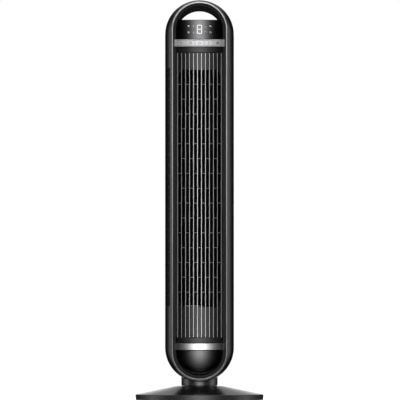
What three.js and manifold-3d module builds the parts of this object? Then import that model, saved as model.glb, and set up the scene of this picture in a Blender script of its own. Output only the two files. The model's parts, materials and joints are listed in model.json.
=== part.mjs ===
// An oscillating tower fan on a round base.
//
// Millimetres, +Z up. The fan blows towards -Y and +X is on its right as one faces it.
// The origin is the centre of the base, on the floor. The base stands still; the tower above it
// swings on the pivot post, and inside the tower a long crossflow impeller turns beside its own axis.

import * as THREE from 'three';
import { mergeVertices } from 'three/addons/utils/BufferGeometryUtils.js';
import Module from 'manifold-3d';

const wasm = await Module();
wasm.setup();

// ---------------------------------------------------------------------------- driving sizes

const CLEAR = 0.3;                  // gap between two pieces that touch
const ARC_STEPS = 12;               // facets round half a turn of the housing
const ROUND = 24;                   // facets round a turned piece
const BASE_FACETS = 48;             // facets round the base
const NECK_FACETS = 36;

// Tower housing
const BODY_TOP = 920;
const BODY_BOTTOM = 42.5;
const BODY_HALF_WIDTH = 79;
const FRONT_Y = -72;                // edge of the front lip
const BACK_Y = 76;                  // flat of the back
const WALL = 2.5;
const SEAM_Y = -30;                 // where the front and rear housings meet
const SHOULDER_Y = -42;             // the front shoulder ends and the straight side begins
const SHOULDER_INSET = 13;          // the lip stands this far inside the widest part
const REAR_CURVE_Y = -10;           // the straight side ends and the rear curve begins
const REAR_REACH = 88;              // depth of the full rear curve
const REAR_POWER = 2.3;             // squareness of the rear curve
const CROWN_START_Y = -45;          // behind this the top slopes down
const CROWN_DROP = 125;
const CROWN_POWER = 1.5;
const TAIL_START_Y = 20;            // behind this the bottom rises
const TAIL_RISE = 37;

// Front face
const LIP_WALL = 1.7;
const FACE_MARGIN_TOP = 3.3;        // body top to the trim ring
const FACE_MARGIN_BOTTOM = 4.7;
const TRIM_WIDTH = 3.6;
const TRIM_FRONT_Y = -73;
const RIM_WIDTH = 6.8;              // matt band inside the trim ring
const RIM_Y = -64;
const RIM_DEPTH = 10;
const CROWN_Y = -75;                // foremost line of the bowed front
const BOW_SAGITTA = 9.8;            // how far the bowed front falls back at its sides
const BAR_PROUD = 1.5;              // the two silver bars stand out from the bowed front
const BAR_OVERLAP = 4.7;            // and reach this far over the rim
const PANEL_WALL = 3;
const SEAT_WIDTH = 6;
const SEAT_THICKNESS = 2.5;

// Hand hole
const HOLE_BAND = 22.6;             // face edge to the top of the hole
const HOLE_HEIGHT = 19.5;
const HOLE_INSET = 0.5;
const TUNNEL_WALL = 2.5;

// Heights on the front, from the hand hole down and from the chin up
const DISPLAY_HEIGHT = 44.7;
const DISPLAY_SHELF = 20;           // depth of the shelf under the hand hole
const BAR_HEIGHT = 16.4;
const BADGE_RISE = 4.9;             // centre of the chin arc to the badge strip
const BADGE_HEIGHT = 15.2;          // silver strip under the grille
const STRIP_TOP_HEIGHT = 13.8;      // solid strip of the grille under the control bar
const STRIP_BOTTOM_HEIGHT = 12.9;
const BACKING_TOP_HEIGHT = 39.1;    // recessed panels behind the ends of the fins
const BACKING_BOTTOM_HEIGHT = 70.9;
const BACKING_RECESS = 6;
const BACKING_WALL = 2;

// Front grille
const FIN_PITCH = 9.18;
const FIN_WIDTH = 2.3;
const FIN_DEPTH = 8.5;
const FIN_EDGE = 2.5;
const RAIL_WIDTH = 1.6;
const CROSSBAR_PITCH = 34.1;
const CROSSBAR_HEIGHT = 2.2;
const CROSSBAR_DEPTH = 5;
const CROSSBAR_RECESS = 1.5;

// Keys
const KEY_COUNT = 5;
const KEY_MARGIN = 2.1;             // left over beside the row of keys
const KEY_HEIGHT = 12;
const KEY_THICKNESS = 5;
const KEY_TRAVEL = 0.8;
const KEY_GAP = 0.35;
const MAT_THICKNESS = 1.5;

// Electronics
const BOARD_THICKNESS = 1.6;
const BOARD_MARGIN = 7.3;
const DISPLAY_BOARD_Y = -58.4;
const DIGIT_HALF_WIDTH = 16;
const DIGIT_HEIGHT = 28;
const POWER_BOARD_GAP = 8;          // fan motor to the power board
const RIBBON_WIDTH = 8;
const RIBBON_THICKNESS = 0.6;
const RIBBON_Y = -46;
const RIBBON_GAP = 1.1;             // scroll casing's mouth to the ribbon

// Intake grille, on the left and round the back
const INTAKE_LIP = 3.5;             // front lip to the start of the grille
const INTAKE_BACK_X = 25;
const INTAKE_MARGIN_LOW = 1;        // above the lower end of the air opening
const INTAKE_MARGIN_HIGH = 5;       // beyond its upper end
const SLOT_ROWS = 4;
const SLOT_WIDTH = 6;
const SLOT_BRIDGE = 14;
const SLOT_PITCH = 19;
const SLOT_START = 9;

// Air path
const IMPELLER_X = 4;
const IMPELLER_Y = 8;
const AIR_ROOM = 37;                // impeller rim to the widest part of the housing
const IMPELLER_END_GAP = 2.4;
const BLADE_COUNT = 10;
const BLADE_DEPTH = 9;
const BLADE_THICKNESS = 1.2;
const BLADE_TILT = 35;
const DISC_COUNT = 3;
const DISC_THICKNESS = 2;
const HUB_RADIUS = 10;
const HUB_LENGTH = 16;
const SHAFT_RADIUS = 4;
const CASING_GAP = 3;
const CASING_GROWTH = 12.6;
const CASING_WALL = 2;
const CASING_START = 85;            // degrees round the impeller, from +X towards +Y
const CASING_END = -45;
const AIR_FRONT_Y = -49.5;
const BULKHEAD_GAP = 5;
const BULKHEAD_WALL = 3;
const BULKHEAD_FRONT_Y = -48;

// Fan motor and upper bearing
const MOTOR_RADIUS = 40;
const MOTOR_HEIGHT = 55;
const MOTOR_WALL = 1.5;
const ROTOR_RADIUS = 20;
const STATOR_HEIGHT = 28;
const SHAFT_END_ROOM = 6;
const BEARING_RADIUS = 8;
const BEARING_HEIGHT = 10;
const BUSH_RADIUS = 13;
const TOP_PIN_LENGTH = 28;

// Swing drive and pivot
const NECK_RADIUS = 41.2;
const NECK_FLARE = 0.6;
const NECK_WALL = 2.8;
const NECK_BOTTOM = 33.6;
const NECK_TOP = 56;
const NECK_DISC = 4;
const POST_RADIUS = 12.4;
const POST_WALL = 3.8;
const POST_TOP = 62;
const POST_FLANGE_RADIUS = 32;
const POST_FLANGE = 3;
const GLIDE_GAP = 1.4;              // glide ring to the neck's inside
const GLIDE_WIDTH = 7;
const GLIDE_THICKNESS = 2;
const RUNNER_THICKNESS = 3;
const GEAR_MODULE = 1;
const GEAR_RIM = 2.1;               // least wall of the fixed gear round the post
const TOOTH_ROOT = 1.2;             // depth of a tooth under the pitch circle, in modules
const TOOTH_TIP = 0.85;
const PINION_TEETH = 12;
const GEAR_HEIGHT = 7;
const GEAR_LIFT = 6;                // base cover to the fixed gear
const PINION_SHAFT_RADIUS = 2.2;
const SWING_MOTOR_RADIUS = 14;
const SWING_MOTOR_HEIGHT = 19;
const SWING_MOTOR_OFFSET = 8;       // motor centre behind its output shaft
const WASHER_WIDTH = 2.7;
const WASHER_THICKNESS = 2;
const CLIP_WIDTH = 1.8;
const CLIP_THICKNESS = 1.4;

// Base
const BASE_RADIUS = 146.8;
const BASE_TOP = 33;
const BASE_TOP_RADIUS = 54;
const BASE_EDGE = 13.3;             // height of the upright rim
const BASE_WALL = 3;
const BASE_RIM_BOTTOM = 1;
const BASE_BORE_GAP = 3.6;          // pivot post to the base cover's hole
const PLATE_BOTTOM = 2.8;
const PLATE_THICKNESS = 2.5;
const FOOT_COUNT = 5;
const FOOT_RADIUS = 9;
const FOOT_INSET = 18.8;            // base edge to the foot's centre

// Fasteners and cord inlet
const SCREW_RADIUS = 1.5;
const SCREW_HEAD_RADIUS = 3.2;
const SCREW_HEAD_HEIGHT = 2;
const SCREW_LENGTH = 14;
const SCREW_X = 12;
const BOSS_RADIUS = 4.5;
const BOSS_LENGTH = 12;
const POST_SCREW_CIRCLE = 24;
const POST_SCREW_COUNT = 3;
const GLAND_Z = 110;
const GLAND_RADIUS = 8;
const GLAND_FLANGE_RADIUS = 11;
const GLAND_BORE = 3.5;
const GLAND_REACH = 8;

// ---------------------------------------------------------------------------- worked-out sizes

const LIP_RADIUS = BODY_HALF_WIDTH - SHOULDER_INSET;
const LIP_OPENING = LIP_RADIUS - LIP_WALL;
const FACE_RADIUS = LIP_OPENING - CLEAR;
const TRIM_INNER = FACE_RADIUS - TRIM_WIDTH;
const RIM_INNER = TRIM_INNER - RIM_WIDTH;
const PANEL_HALF = RIM_INNER - CLEAR;
const FACE_TOP = BODY_TOP - FACE_MARGIN_TOP - FACE_RADIUS;
const FACE_BOTTOM = BODY_BOTTOM + FACE_MARGIN_BOTTOM + FACE_RADIUS;
const SHOULDER_RADIUS = sagRadius(SHOULDER_Y - FRONT_Y, SHOULDER_INSET);
const FRONT_DROP = FACE_MARGIN_TOP - LIP_WALL - CLEAR;
const FRONT_RISE = FACE_MARGIN_BOTTOM - LIP_WALL - CLEAR;

const BOW_RADIUS = sagRadius(PANEL_HALF, BOW_SAGITTA);
const BOW_Y = CROWN_Y + BOW_RADIUS;
const BAR_RADIUS = BOW_RADIUS + BAR_PROUD;
const BAR_HALF = PANEL_HALF + BAR_OVERLAP;
const RIM_BACK_Y = RIM_Y + RIM_DEPTH;

const HOLE_RADIUS = RIM_INNER - HOLE_INSET;
const HOLE_TOP = FACE_TOP + FACE_RADIUS - HOLE_BAND;
const HOLE_FLOOR = HOLE_TOP - HOLE_HEIGHT;
const HOLE_CENTRE = HOLE_TOP - HOLE_RADIUS;

const DISPLAY_TOP = HOLE_FLOOR - CLEAR;
const DISPLAY_BOTTOM = DISPLAY_TOP - DISPLAY_HEIGHT;
const CONTROL_TOP = DISPLAY_BOTTOM - CLEAR;
const CONTROL_BOTTOM = CONTROL_TOP - BAR_HEIGHT;
const GRILLE_TOP = CONTROL_BOTTOM - CLEAR;
const BADGE_BOTTOM = FACE_BOTTOM + BADGE_RISE;
const BADGE_TOP = BADGE_BOTTOM + BADGE_HEIGHT;
const GRILLE_BOTTOM = BADGE_TOP + CLEAR;
const FIN_TOP = GRILLE_TOP - STRIP_TOP_HEIGHT;
const FIN_BOTTOM = GRILLE_BOTTOM + STRIP_BOTTOM_HEIGHT;
const AIR_TOP = FIN_TOP - BACKING_TOP_HEIGHT;
const AIR_BOTTOM = FIN_BOTTOM + BACKING_BOTTOM_HEIGHT;
const AIR_MIDDLE = (AIR_TOP + AIR_BOTTOM) / 2;

const KEY_PITCH = (2 * PANEL_HALF - KEY_MARGIN) / KEY_COUNT;
const KEY_MIDDLE = (CONTROL_TOP + CONTROL_BOTTOM) / 2;
const KEY_BACK_RADIUS = BAR_RADIUS - KEY_THICKNESS;
const MAT_RADIUS = KEY_BACK_RADIUS - KEY_TRAVEL - 2 * CLEAR;

const INTAKE_FRONT_X = -LIP_OPENING - INTAKE_LIP;
const INTAKE_LOW = AIR_BOTTOM + INTAKE_MARGIN_LOW;
const INTAKE_HIGH = AIR_TOP + INTAKE_MARGIN_HIGH;

const IMPELLER_RADIUS = BODY_HALF_WIDTH - AIR_ROOM;
const IMPELLER_LOW = AIR_BOTTOM + IMPELLER_END_GAP;
const IMPELLER_HIGH = AIR_TOP - IMPELLER_END_GAP;
const UPPER_BULKHEAD_Z = AIR_TOP + BULKHEAD_GAP;
const LOWER_BULKHEAD_Z = AIR_BOTTOM - BULKHEAD_GAP - BULKHEAD_WALL;
const MOTOR_TOP = LOWER_BULKHEAD_Z - CLEAR;
const POWER_BOARD_X = IMPELLER_X + MOTOR_RADIUS + POWER_BOARD_GAP;
const MOTOR_BOTTOM = MOTOR_TOP - MOTOR_HEIGHT;
const UPPER_SCREW_Z = UPPER_BULKHEAD_Z + BULKHEAD_WALL + BOSS_RADIUS - 1;
const LOWER_SCREW_Z = LOWER_BULKHEAD_Z - BOSS_RADIUS + 1;

const NECK_TOP_RADIUS = NECK_RADIUS + NECK_FLARE;
const NECK_HOLE = NECK_TOP_RADIUS + CLEAR;
const NECK_INNER = NECK_RADIUS - NECK_WALL;
const POST_HOLE = POST_RADIUS + CLEAR;
const POST_BORE = POST_RADIUS - POST_WALL;
const WASHER_RADIUS = POST_HOLE + WASHER_WIDTH;
const CLIP_RADIUS = POST_HOLE + CLIP_WIDTH;
const BASE_BORE = POST_RADIUS + BASE_BORE_GAP;
const GLIDE_OUTER = NECK_INNER - GLIDE_GAP;
const GLIDE_INNER = GLIDE_OUTER - GLIDE_WIDTH;
const GEAR_TEETH = Math.round(2 * ((POST_HOLE + GEAR_RIM) / GEAR_MODULE + TOOTH_ROOT));
const GEAR_RADIUS = GEAR_MODULE * GEAR_TEETH / 2;
const PINION_RADIUS = GEAR_MODULE * PINION_TEETH / 2;
const PINION_Y = GEAR_RADIUS + PINION_RADIUS;
const GEAR_Z = BASE_TOP + GEAR_LIFT;
const GLIDE_Z = BASE_TOP + CLEAR;
const RUNNER_Z = GLIDE_Z + GLIDE_THICKNESS + CLEAR;
const POST_FLANGE_Z = BASE_TOP - BASE_WALL - CLEAR - POST_FLANGE;
const PLATE_TOP = PLATE_BOTTOM + PLATE_THICKNESS;

// ---------------------------------------------------------------------------- materials

const material = (color, roughness, metalness = 0) =>
  new THREE.MeshStandardMaterial({ color, roughness, metalness });

const GLOSS_BLACK = material(0x15161a, 0.18);
const MATT_BLACK = material(0x26272b, 0.6);
const SATIN_BLACK = material(0x1d1e22, 0.38);
const SILVER = material(0xc4c6cb, 0.28, 0.9);
const KEY_SILVER = material(0xcfd1d6, 0.32, 0.85);
const RUBBER = material(0x17171a, 0.9);
const STEEL = material(0xa9abb0, 0.35, 1);
const ALUMINIUM = material(0xb8babf, 0.4, 1);
const COPPER = material(0xa8623a, 0.45, 0.9);
const NYLON = material(0xe6e4dc, 0.5);
const BOARD_GREEN = material(0x1f5a3a, 0.55);
const RIBBON_GREY = material(0x9b9ca0, 0.6);
const CHASSIS_GREY = material(0x55575c, 0.7);
const IMPELLER_GREY = material(0x3c3e43, 0.55);

// ---------------------------------------------------------------------------- solids

// Radius of an arc that falls back by sag over half a chord.
function sagRadius(halfChord, sag) {
  return (halfChord ** 2 + sag ** 2) / (2 * sag);
}

// A closed three.js geometry as a solid, with its faces pointing out.
function solid(geometry) {
  const bare = new THREE.BufferGeometry();
  bare.setAttribute('position', geometry.getAttribute('position'));
  bare.setIndex(geometry.getIndex());
  const merged = mergeVertices(bare, 1e-4);
  const positions = merged.getAttribute('position');
  const index = merged.getIndex();
  const corner = (i) => new THREE.Vector3().fromBufferAttribute(positions, i);
  const triangles = [];
  let volume = 0;
  for (let i = 0; i < index.count; i += 3) {
    const [a, b, c] = [index.getX(i), index.getX(i + 1), index.getX(i + 2)];
    if (a === b || b === c || c === a) continue;
    triangles.push([a, b, c]);
    volume += corner(a).dot(corner(b).cross(corner(c)));
  }
  const outward = volume < 0 ? triangles.map(([a, b, c]) => [a, c, b]) : triangles;
  return new wasm.Manifold(new wasm.Mesh({
    numProp: 3,
    vertProperties: new Float32Array(positions.array),
    triVerts: new Uint32Array(outward.flat()),
  }));
}

const join = (...solids) => solids.reduce((whole, piece) => whole.add(piece));
const cut = (whole, ...tools) => tools.reduce((left, tool) => left.subtract(tool), whole);
const common = (...solids) => solids.reduce((whole, piece) => whole.intersect(piece));

function box(x0, x1, y0, y1, z0, z1) {
  const geometry = new THREE.BoxGeometry(x1 - x0, y1 - y0, z1 - z0);
  geometry.translate((x0 + x1) / 2, (y0 + y1) / 2, (z0 + z1) / 2);
  return solid(geometry);
}

// A profile of [radius, z] points turned round the Z axis.
function turned(profile, segments = ROUND) {
  const points = profile.map(([radius, z]) => new THREE.Vector2(radius, z));
  const geometry = new THREE.LatheGeometry(points, segments);
  geometry.rotateX(Math.PI / 2);
  return solid(geometry);
}

function disc(radius, z0, z1, segments = ROUND) {
  return turned([[0, z0], [radius, z0], [radius, z1], [0, z1]], segments);
}

function ring(inner, outer, z0, z1, segments = ROUND) {
  return turned([[inner, z0], [outer, z0], [outer, z1], [inner, z1], [inner, z0]], segments);
}

// A shape drawn in X and Z, solid from y0 to y1.
function slab(shape, y0, y1, curveSegments = ARC_STEPS) {
  const geometry = new THREE.ExtrudeGeometry(shape, {
    depth: y1 - y0, bevelEnabled: false, curveSegments,
  });
  geometry.rotateX(Math.PI / 2);
  geometry.translate(0, y1, 0);
  return solid(geometry);
}

// A shape drawn in X and Y, solid from z0 to z1.
function column(shape, z0, z1, curveSegments = ARC_STEPS) {
  const geometry = new THREE.ExtrudeGeometry(shape, {
    depth: z1 - z0, bevelEnabled: false, curveSegments,
  });
  geometry.translate(0, 0, z0);
  return solid(geometry);
}

// Two half rounds joined by straight sides.
function racetrack(radius, top, bottom) {
  const shape = new THREE.Shape();
  shape.absarc(0, top, radius, 0, Math.PI);
  shape.absarc(0, bottom, radius, Math.PI, 2 * Math.PI);
  shape.closePath();
  return shape;
}

const facePlate = (radius, y0, y1) => slab(racetrack(radius, FACE_TOP, FACE_BOTTOM), y0, y1);

// ---------------------------------------------------------------------------- housing form

// Half the width of the housing at a depth, measured inset inside its outer face.
function halfWidthAt(y, inset) {
  if (y < SHOULDER_Y) {
    const radius = SHOULDER_RADIUS - inset;
    const fall = Math.sqrt(radius ** 2 - (y - SHOULDER_Y) ** 2);
    return BODY_HALF_WIDTH - SHOULDER_RADIUS + fall;
  }
  const part = Math.max(0, y - REAR_CURVE_Y) / (REAR_REACH - inset);
  return (BODY_HALF_WIDTH - inset) * (1 - part ** REAR_POWER) ** (1 / REAR_POWER);
}

// How much the front shoulder rounds off the top and bottom at a depth, from 0 to 1.
function shoulderRound(y) {
  const part = Math.min(1, Math.max(0, (SHOULDER_Y - y) / (SHOULDER_Y - FRONT_Y)));
  return 1 - Math.sqrt(1 - part ** 2);
}

function topAt(y, inset) {
  const reach = BACK_Y - CROWN_START_Y;
  const part = Math.max(0, y - CROWN_START_Y) / reach;
  const slope = CROWN_DROP * CROWN_POWER * part ** (CROWN_POWER - 1) / reach;
  const level = BODY_TOP - CROWN_DROP * part ** CROWN_POWER - FRONT_DROP * shoulderRound(y);
  return level - inset * Math.hypot(1, slope);
}

function bottomAt(y, inset) {
  const reach = BACK_Y - TAIL_START_Y;
  const part = Math.max(0, y - TAIL_START_Y) / reach;
  const slope = 2 * TAIL_RISE * part / reach;
  const level = BODY_BOTTOM + TAIL_RISE * part ** 2 + FRONT_RISE * shoulderRound(y);
  return level + inset * Math.hypot(1, slope);
}

// Depths between y0 and y1 that follow the shoulder, the straight side and the rear curve.
function stations(y0, y1, inset) {
  const arcs = [
    ...spread(FRONT_Y, SHOULDER_Y, 4),
    ...spread(SHOULDER_Y, REAR_CURVE_Y, 1),
    ...spread(REAR_CURVE_Y, BACK_Y - inset, 6),
  ];
  const inside = arcs.filter((y) => y > y0 + 1 && y < y1 - 1);
  return [y0, ...new Set(inside), y1];
}

function spread(from, to, count) {
  return Array.from({ length: count + 1 }, (_, i) => from + (to - from) * i / count);
}

// The housing's solid form from y0 to y1: a racetrack whose size changes with depth.
function housingForm(inset, y0, y1) {
  const depths = stations(y0, y1, inset);
  const geometry = new THREE.ExtrudeGeometry(racetrack(1, 1, -1), {
    depth: depths.length - 1, steps: depths.length - 1, bevelEnabled: false, curveSegments: ARC_STEPS,
  });
  const position = geometry.getAttribute('position');
  for (let i = 0; i < position.count; i += 1) {
    const y = depths[Math.round(position.getZ(i))];
    const width = halfWidthAt(y, inset);
    const v = position.getY(i);
    const z = v > 0 ? topAt(y, inset) + width * (v - 2) : bottomAt(y, inset) + width * (v + 2);
    position.setXYZ(i, width * position.getX(i), y, z);
  }
  return solid(geometry);
}

function housingShell(y0, y1) {
  const innerEnd = y1 > BACK_Y - 1 ? BACK_Y - WALL : y1 + 1;
  return cut(housingForm(0, y0, y1), housingForm(WALL, y0 - 1, innerEnd));
}

// The hand hole's outline: a round top over a flat floor, grown by margin on all sides.
function holeShape(margin) {
  const radius = HOLE_RADIUS + margin;
  const start = Math.asin((HOLE_FLOOR - margin - HOLE_CENTRE) / radius);
  const shape = new THREE.Shape();
  shape.absarc(0, HOLE_CENTRE, radius, start, Math.PI - start);
  shape.closePath();
  return shape;
}

// The side and rear part of the housing that the intake grille takes up, shrunk by gap.
function intakeWindow(gap) {
  const low = INTAKE_LOW + gap;
  const high = INTAKE_HIGH - gap;
  const outside = BODY_HALF_WIDTH + 10;
  return join(
    box(-outside, INTAKE_FRONT_X - gap, FRONT_Y - 10, 5, low, high),
    box(-outside, INTAKE_BACK_X - gap, 0, BACK_Y + 10, low, high),
  );
}

const neckHole = () => disc(NECK_HOLE, BODY_BOTTOM - 10, NECK_TOP + 10, NECK_FACETS);

// ---------------------------------------------------------------------------- housing pieces

function frontHousing() {
  const end = SEAM_Y - CLEAR / 2;
  const seatFront = RIM_BACK_Y + CLEAR;
  const seat = cut(
    housingForm(1, seatFront, seatFront + SEAT_THICKNESS),
    facePlate(FACE_RADIUS - SEAT_WIDTH, seatFront - 1, seatFront + SEAT_THICKNESS + 1),
  );
  const whole = join(housingShell(FRONT_Y, end), seat);
  return cut(whole, facePlate(LIP_OPENING, FRONT_Y - 2, RIM_Y), neckHole(), intakeWindow(0));
}

// Everything of the housing behind the seam, before it is parted into the crown and the rear housing.
function rearShell() {
  const start = SEAM_Y + CLEAR / 2;
  const screwHoles = screwPlaces().map(([x, z]) =>
    alongY(SCREW_RADIUS + CLEAR, x, z, BACK_Y - 8, BACK_Y + 1));
  return cut(
    housingShell(start, BACK_Y), slab(holeShape(TUNNEL_WALL + CLEAR), start - 1, BACK_Y), neckHole(),
    intakeWindow(0), alongY(GLAND_RADIUS + CLEAR, 0, GLAND_Z, BACK_Y - 8, BACK_Y + 1, 16), ...screwHoles,
  );
}

function rearSpace(z0, z1) {
  const outside = BODY_HALF_WIDTH + 10;
  return box(-outside, outside, SEAM_Y - 10, BACK_Y + 10, z0, z1);
}

const rearHousing = () => common(rearShell(), rearSpace(0, HOLE_FLOOR - CLEAR / 2));
const rearCrown = () => common(rearShell(), rearSpace(HOLE_FLOOR + CLEAR / 2, BODY_TOP + 10));

// The lining of the hand hole: a plate in the top of the bezel and a sleeve through to the back.
function handHoleSleeve() {
  const outside = BODY_HALF_WIDTH + 10;
  const plate = common(
    facePlate(PANEL_HALF, RIM_Y, RIM_BACK_Y),
    box(-outside, outside, RIM_Y - 1, RIM_BACK_Y + 1, HOLE_FLOOR, BODY_TOP),
  );
  const sleeve = common(
    slab(holeShape(TUNNEL_WALL), RIM_BACK_Y - 1, BACK_Y),
    housingForm(0, FRONT_Y, BACK_Y),
  );
  return cut(join(plate, sleeve), slab(holeShape(0), RIM_Y - 1, BACK_Y + 1));
}

function intakeGrille() {
  const shell = common(housingShell(FRONT_Y, BACK_Y), intakeWindow(CLEAR));
  const rowPitch = (INTAKE_HIGH - INTAKE_LOW) / SLOT_ROWS;
  const slots = [];
  for (const { x, y, turn } of intakeColumns()) {
    for (let row = 0; row < SLOT_ROWS; row += 1) {
      const slot = new THREE.BoxGeometry(6 * WALL, SLOT_WIDTH, rowPitch - SLOT_BRIDGE);
      slot.rotateZ(turn);
      slot.translate(x, y, INTAKE_LOW + (row + 0.5) * rowPitch);
      slots.push(solid(slot));
    }
  }
  return cut(shell, ...slots);
}

// Places along the housing's left side and back, one slot pitch apart, with the wall's direction.
function intakeColumns() {
  const outline = [
    ...spread(FRONT_Y + 3, BACK_Y, 200).map((y) => [-halfWidthAt(y, 0), y]),
    ...spread(-halfWidthAt(BACK_Y, 0), INTAKE_BACK_X, 60).map((x) => [x, BACK_Y]),
  ];
  const columns = [];
  let travelled = 0;
  let next = SLOT_START;
  for (let i = 1; i < outline.length; i += 1) {
    const [dx, dy] = [outline[i][0] - outline[i - 1][0], outline[i][1] - outline[i - 1][1]];
    travelled += Math.hypot(dx, dy);
    const [x, y] = outline[i];
    if (travelled >= next && x < INTAKE_BACK_X - SLOT_WIDTH) {
      columns.push({ x, y, turn: Math.atan2(dy, dx) + Math.PI / 2 });
      next += SLOT_PITCH;
    }
  }
  return columns;
}

// A rod along Y, centred at x and z.
function alongY(radius, x, z, y0, y1, segments = 8) {
  const geometry = new THREE.CylinderGeometry(radius, radius, y1 - y0, segments);
  geometry.translate(x, (y0 + y1) / 2, z);
  return solid(geometry);
}

// An upright rod centred at x and y.
const upright = (radius, x, y, z0, z1, segments = 24) =>
  disc(radius, z0, z1, segments).translate([x, y, 0]);

function screwPlaces() {
  return [UPPER_SCREW_Z, LOWER_SCREW_Z].flatMap((z) => [-SCREW_X, SCREW_X].map((x) => [x, z]));
}

// ---------------------------------------------------------------------------- front face

// An upright cylinder wall that follows the bowed front.
function bowed(outer, inner, half, z0, z1) {
  const wall = ring(inner, outer, z0, z1, 96).translate([0, BOW_Y, 0]);
  return common(wall, box(-half, half, CROWN_Y - 10, BOW_Y - BOW_RADIUS / 2, z0 - 1, z1 + 1));
}

const trimRing = () => cut(
  facePlate(FACE_RADIUS, TRIM_FRONT_Y, RIM_Y - CLEAR),
  facePlate(TRIM_INNER, TRIM_FRONT_Y - 1, RIM_Y + 1),
);

const frontBezel = () => cut(
  facePlate(FACE_RADIUS, RIM_Y, RIM_BACK_Y),
  facePlate(RIM_INNER, RIM_Y - 1, RIM_BACK_Y + 1),
);

function displayCover() {
  const front = bowed(BOW_RADIUS, BOW_RADIUS - PANEL_WALL, PANEL_HALF, DISPLAY_BOTTOM, DISPLAY_TOP);
  const shelf = common(
    bowed(BOW_RADIUS, BOW_RADIUS - DISPLAY_SHELF, PANEL_HALF, DISPLAY_TOP - PANEL_WALL, DISPLAY_TOP),
    box(-PANEL_HALF, PANEL_HALF, CROWN_Y - 1, RIM_BACK_Y - 1 - CLEAR, 0, BODY_TOP),
  );
  return common(join(front, shelf), facePlate(PANEL_HALF, CROWN_Y - 1, RIM_BACK_Y));
}

// A silver bar on the bowed front, cut back where it laps over the rim.
function silverBar(z0, z1) {
  const bar = bowed(BAR_RADIUS, BAR_RADIUS - PANEL_WALL, BAR_HALF, z0, z1);
  const rim = cut(
    box(-BODY_HALF_WIDTH, BODY_HALF_WIDTH, RIM_Y - CLEAR, 0, z0 - 1, z1 + 1),
    box(-PANEL_HALF, PANEL_HALF, RIM_Y - 1, 1, z0 - 2, z1 + 2),
  );
  return cut(bar, rim);
}

const keyX = (i) => (i - (KEY_COUNT - 1) / 2) * KEY_PITCH;

function keyWindow(i, gap) {
  const half = KEY_PITCH / 2 - KEY_GAP + gap;
  return box(
    keyX(i) - half, keyX(i) + half, CROWN_Y - 10, 0,
    KEY_MIDDLE - KEY_HEIGHT / 2 - gap, KEY_MIDDLE + KEY_HEIGHT / 2 + gap,
  );
}

// The keys' row is one long window in the bar, so no thin bridges stand between them.
function controlBar() {
  const end = keyX(KEY_COUNT - 1) + KEY_PITCH / 2;
  const window = box(
    -end, end, CROWN_Y - 10, 0,
    KEY_MIDDLE - KEY_HEIGHT / 2 - KEY_GAP, KEY_MIDDLE + KEY_HEIGHT / 2 + KEY_GAP,
  );
  return cut(silverBar(CONTROL_BOTTOM, CONTROL_TOP), window);
}

const key = (i) => common(
  bowed(BAR_RADIUS, KEY_BACK_RADIUS, PANEL_HALF, CONTROL_BOTTOM, CONTROL_TOP),
  keyWindow(i, 0),
);

const keyMat = () => bowed(
  MAT_RADIUS, MAT_RADIUS - MAT_THICKNESS, PANEL_HALF - KEY_MARGIN,
  CONTROL_BOTTOM + CLEAR, CONTROL_TOP - CLEAR,
);

function lowerCover() {
  const dome = (radius) => {
    const geometry = new THREE.SphereGeometry(radius, 64, 40);
    geometry.rotateX(Math.PI / 2);
    geometry.translate(0, BOW_Y, FACE_BOTTOM);
    return solid(geometry);
  };
  const top = BADGE_BOTTOM - CLEAR;
  const chin = common(
    cut(dome(BOW_RADIUS), dome(BOW_RADIUS - PANEL_WALL)),
    box(-BODY_HALF_WIDTH, BODY_HALF_WIDTH, CROWN_Y - 1, 0, 0, FACE_BOTTOM + 0.5),
  );
  const brow = bowed(BOW_RADIUS, BOW_RADIUS - PANEL_WALL, PANEL_HALF, FACE_BOTTOM, top);
  return common(join(chin, brow), facePlate(PANEL_HALF, CROWN_Y - 1, RIM_BACK_Y));
}

// The bowed front's depth at a distance from the middle.
const bowY = (x, radius = BOW_RADIUS) => BOW_Y - Math.sqrt(radius ** 2 - x ** 2);

function frontGrille() {
  const strip = (recess, wall, z0, z1) =>
    bowed(BOW_RADIUS - recess, BOW_RADIUS - recess - wall, PANEL_HALF, z0, z1);
  const pieces = [
    strip(0, FIN_DEPTH, FIN_TOP, GRILLE_TOP),
    strip(0, FIN_DEPTH, GRILLE_BOTTOM, FIN_BOTTOM),
    strip(BACKING_RECESS, BACKING_WALL, AIR_TOP, FIN_TOP + 1),
    strip(BACKING_RECESS, BACKING_WALL, FIN_BOTTOM - 1, AIR_BOTTOM),
  ];
  const sides = Math.floor((PANEL_HALF - FIN_EDGE) / FIN_PITCH + 0.5);
  for (let i = 0; i < sides; i += 1) {
    for (const side of [-1, 1]) {
      const x = side * (i + 0.5) * FIN_PITCH;
      const front = bowY(x);
      pieces.push(box(
        x - FIN_WIDTH / 2, x + FIN_WIDTH / 2, front, front + FIN_DEPTH, FIN_BOTTOM - 1, FIN_TOP + 1,
      ));
    }
  }
  for (const side of [-1, 1]) {
    const x = side * (PANEL_HALF - RAIL_WIDTH / 2);
    pieces.push(box(
      x - RAIL_WIDTH / 2, x + RAIL_WIDTH / 2, bowY(PANEL_HALF), RIM_BACK_Y, GRILLE_BOTTOM, GRILLE_TOP,
    ));
  }
  return join(...pieces, ...crossbars(sides));
}

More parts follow.
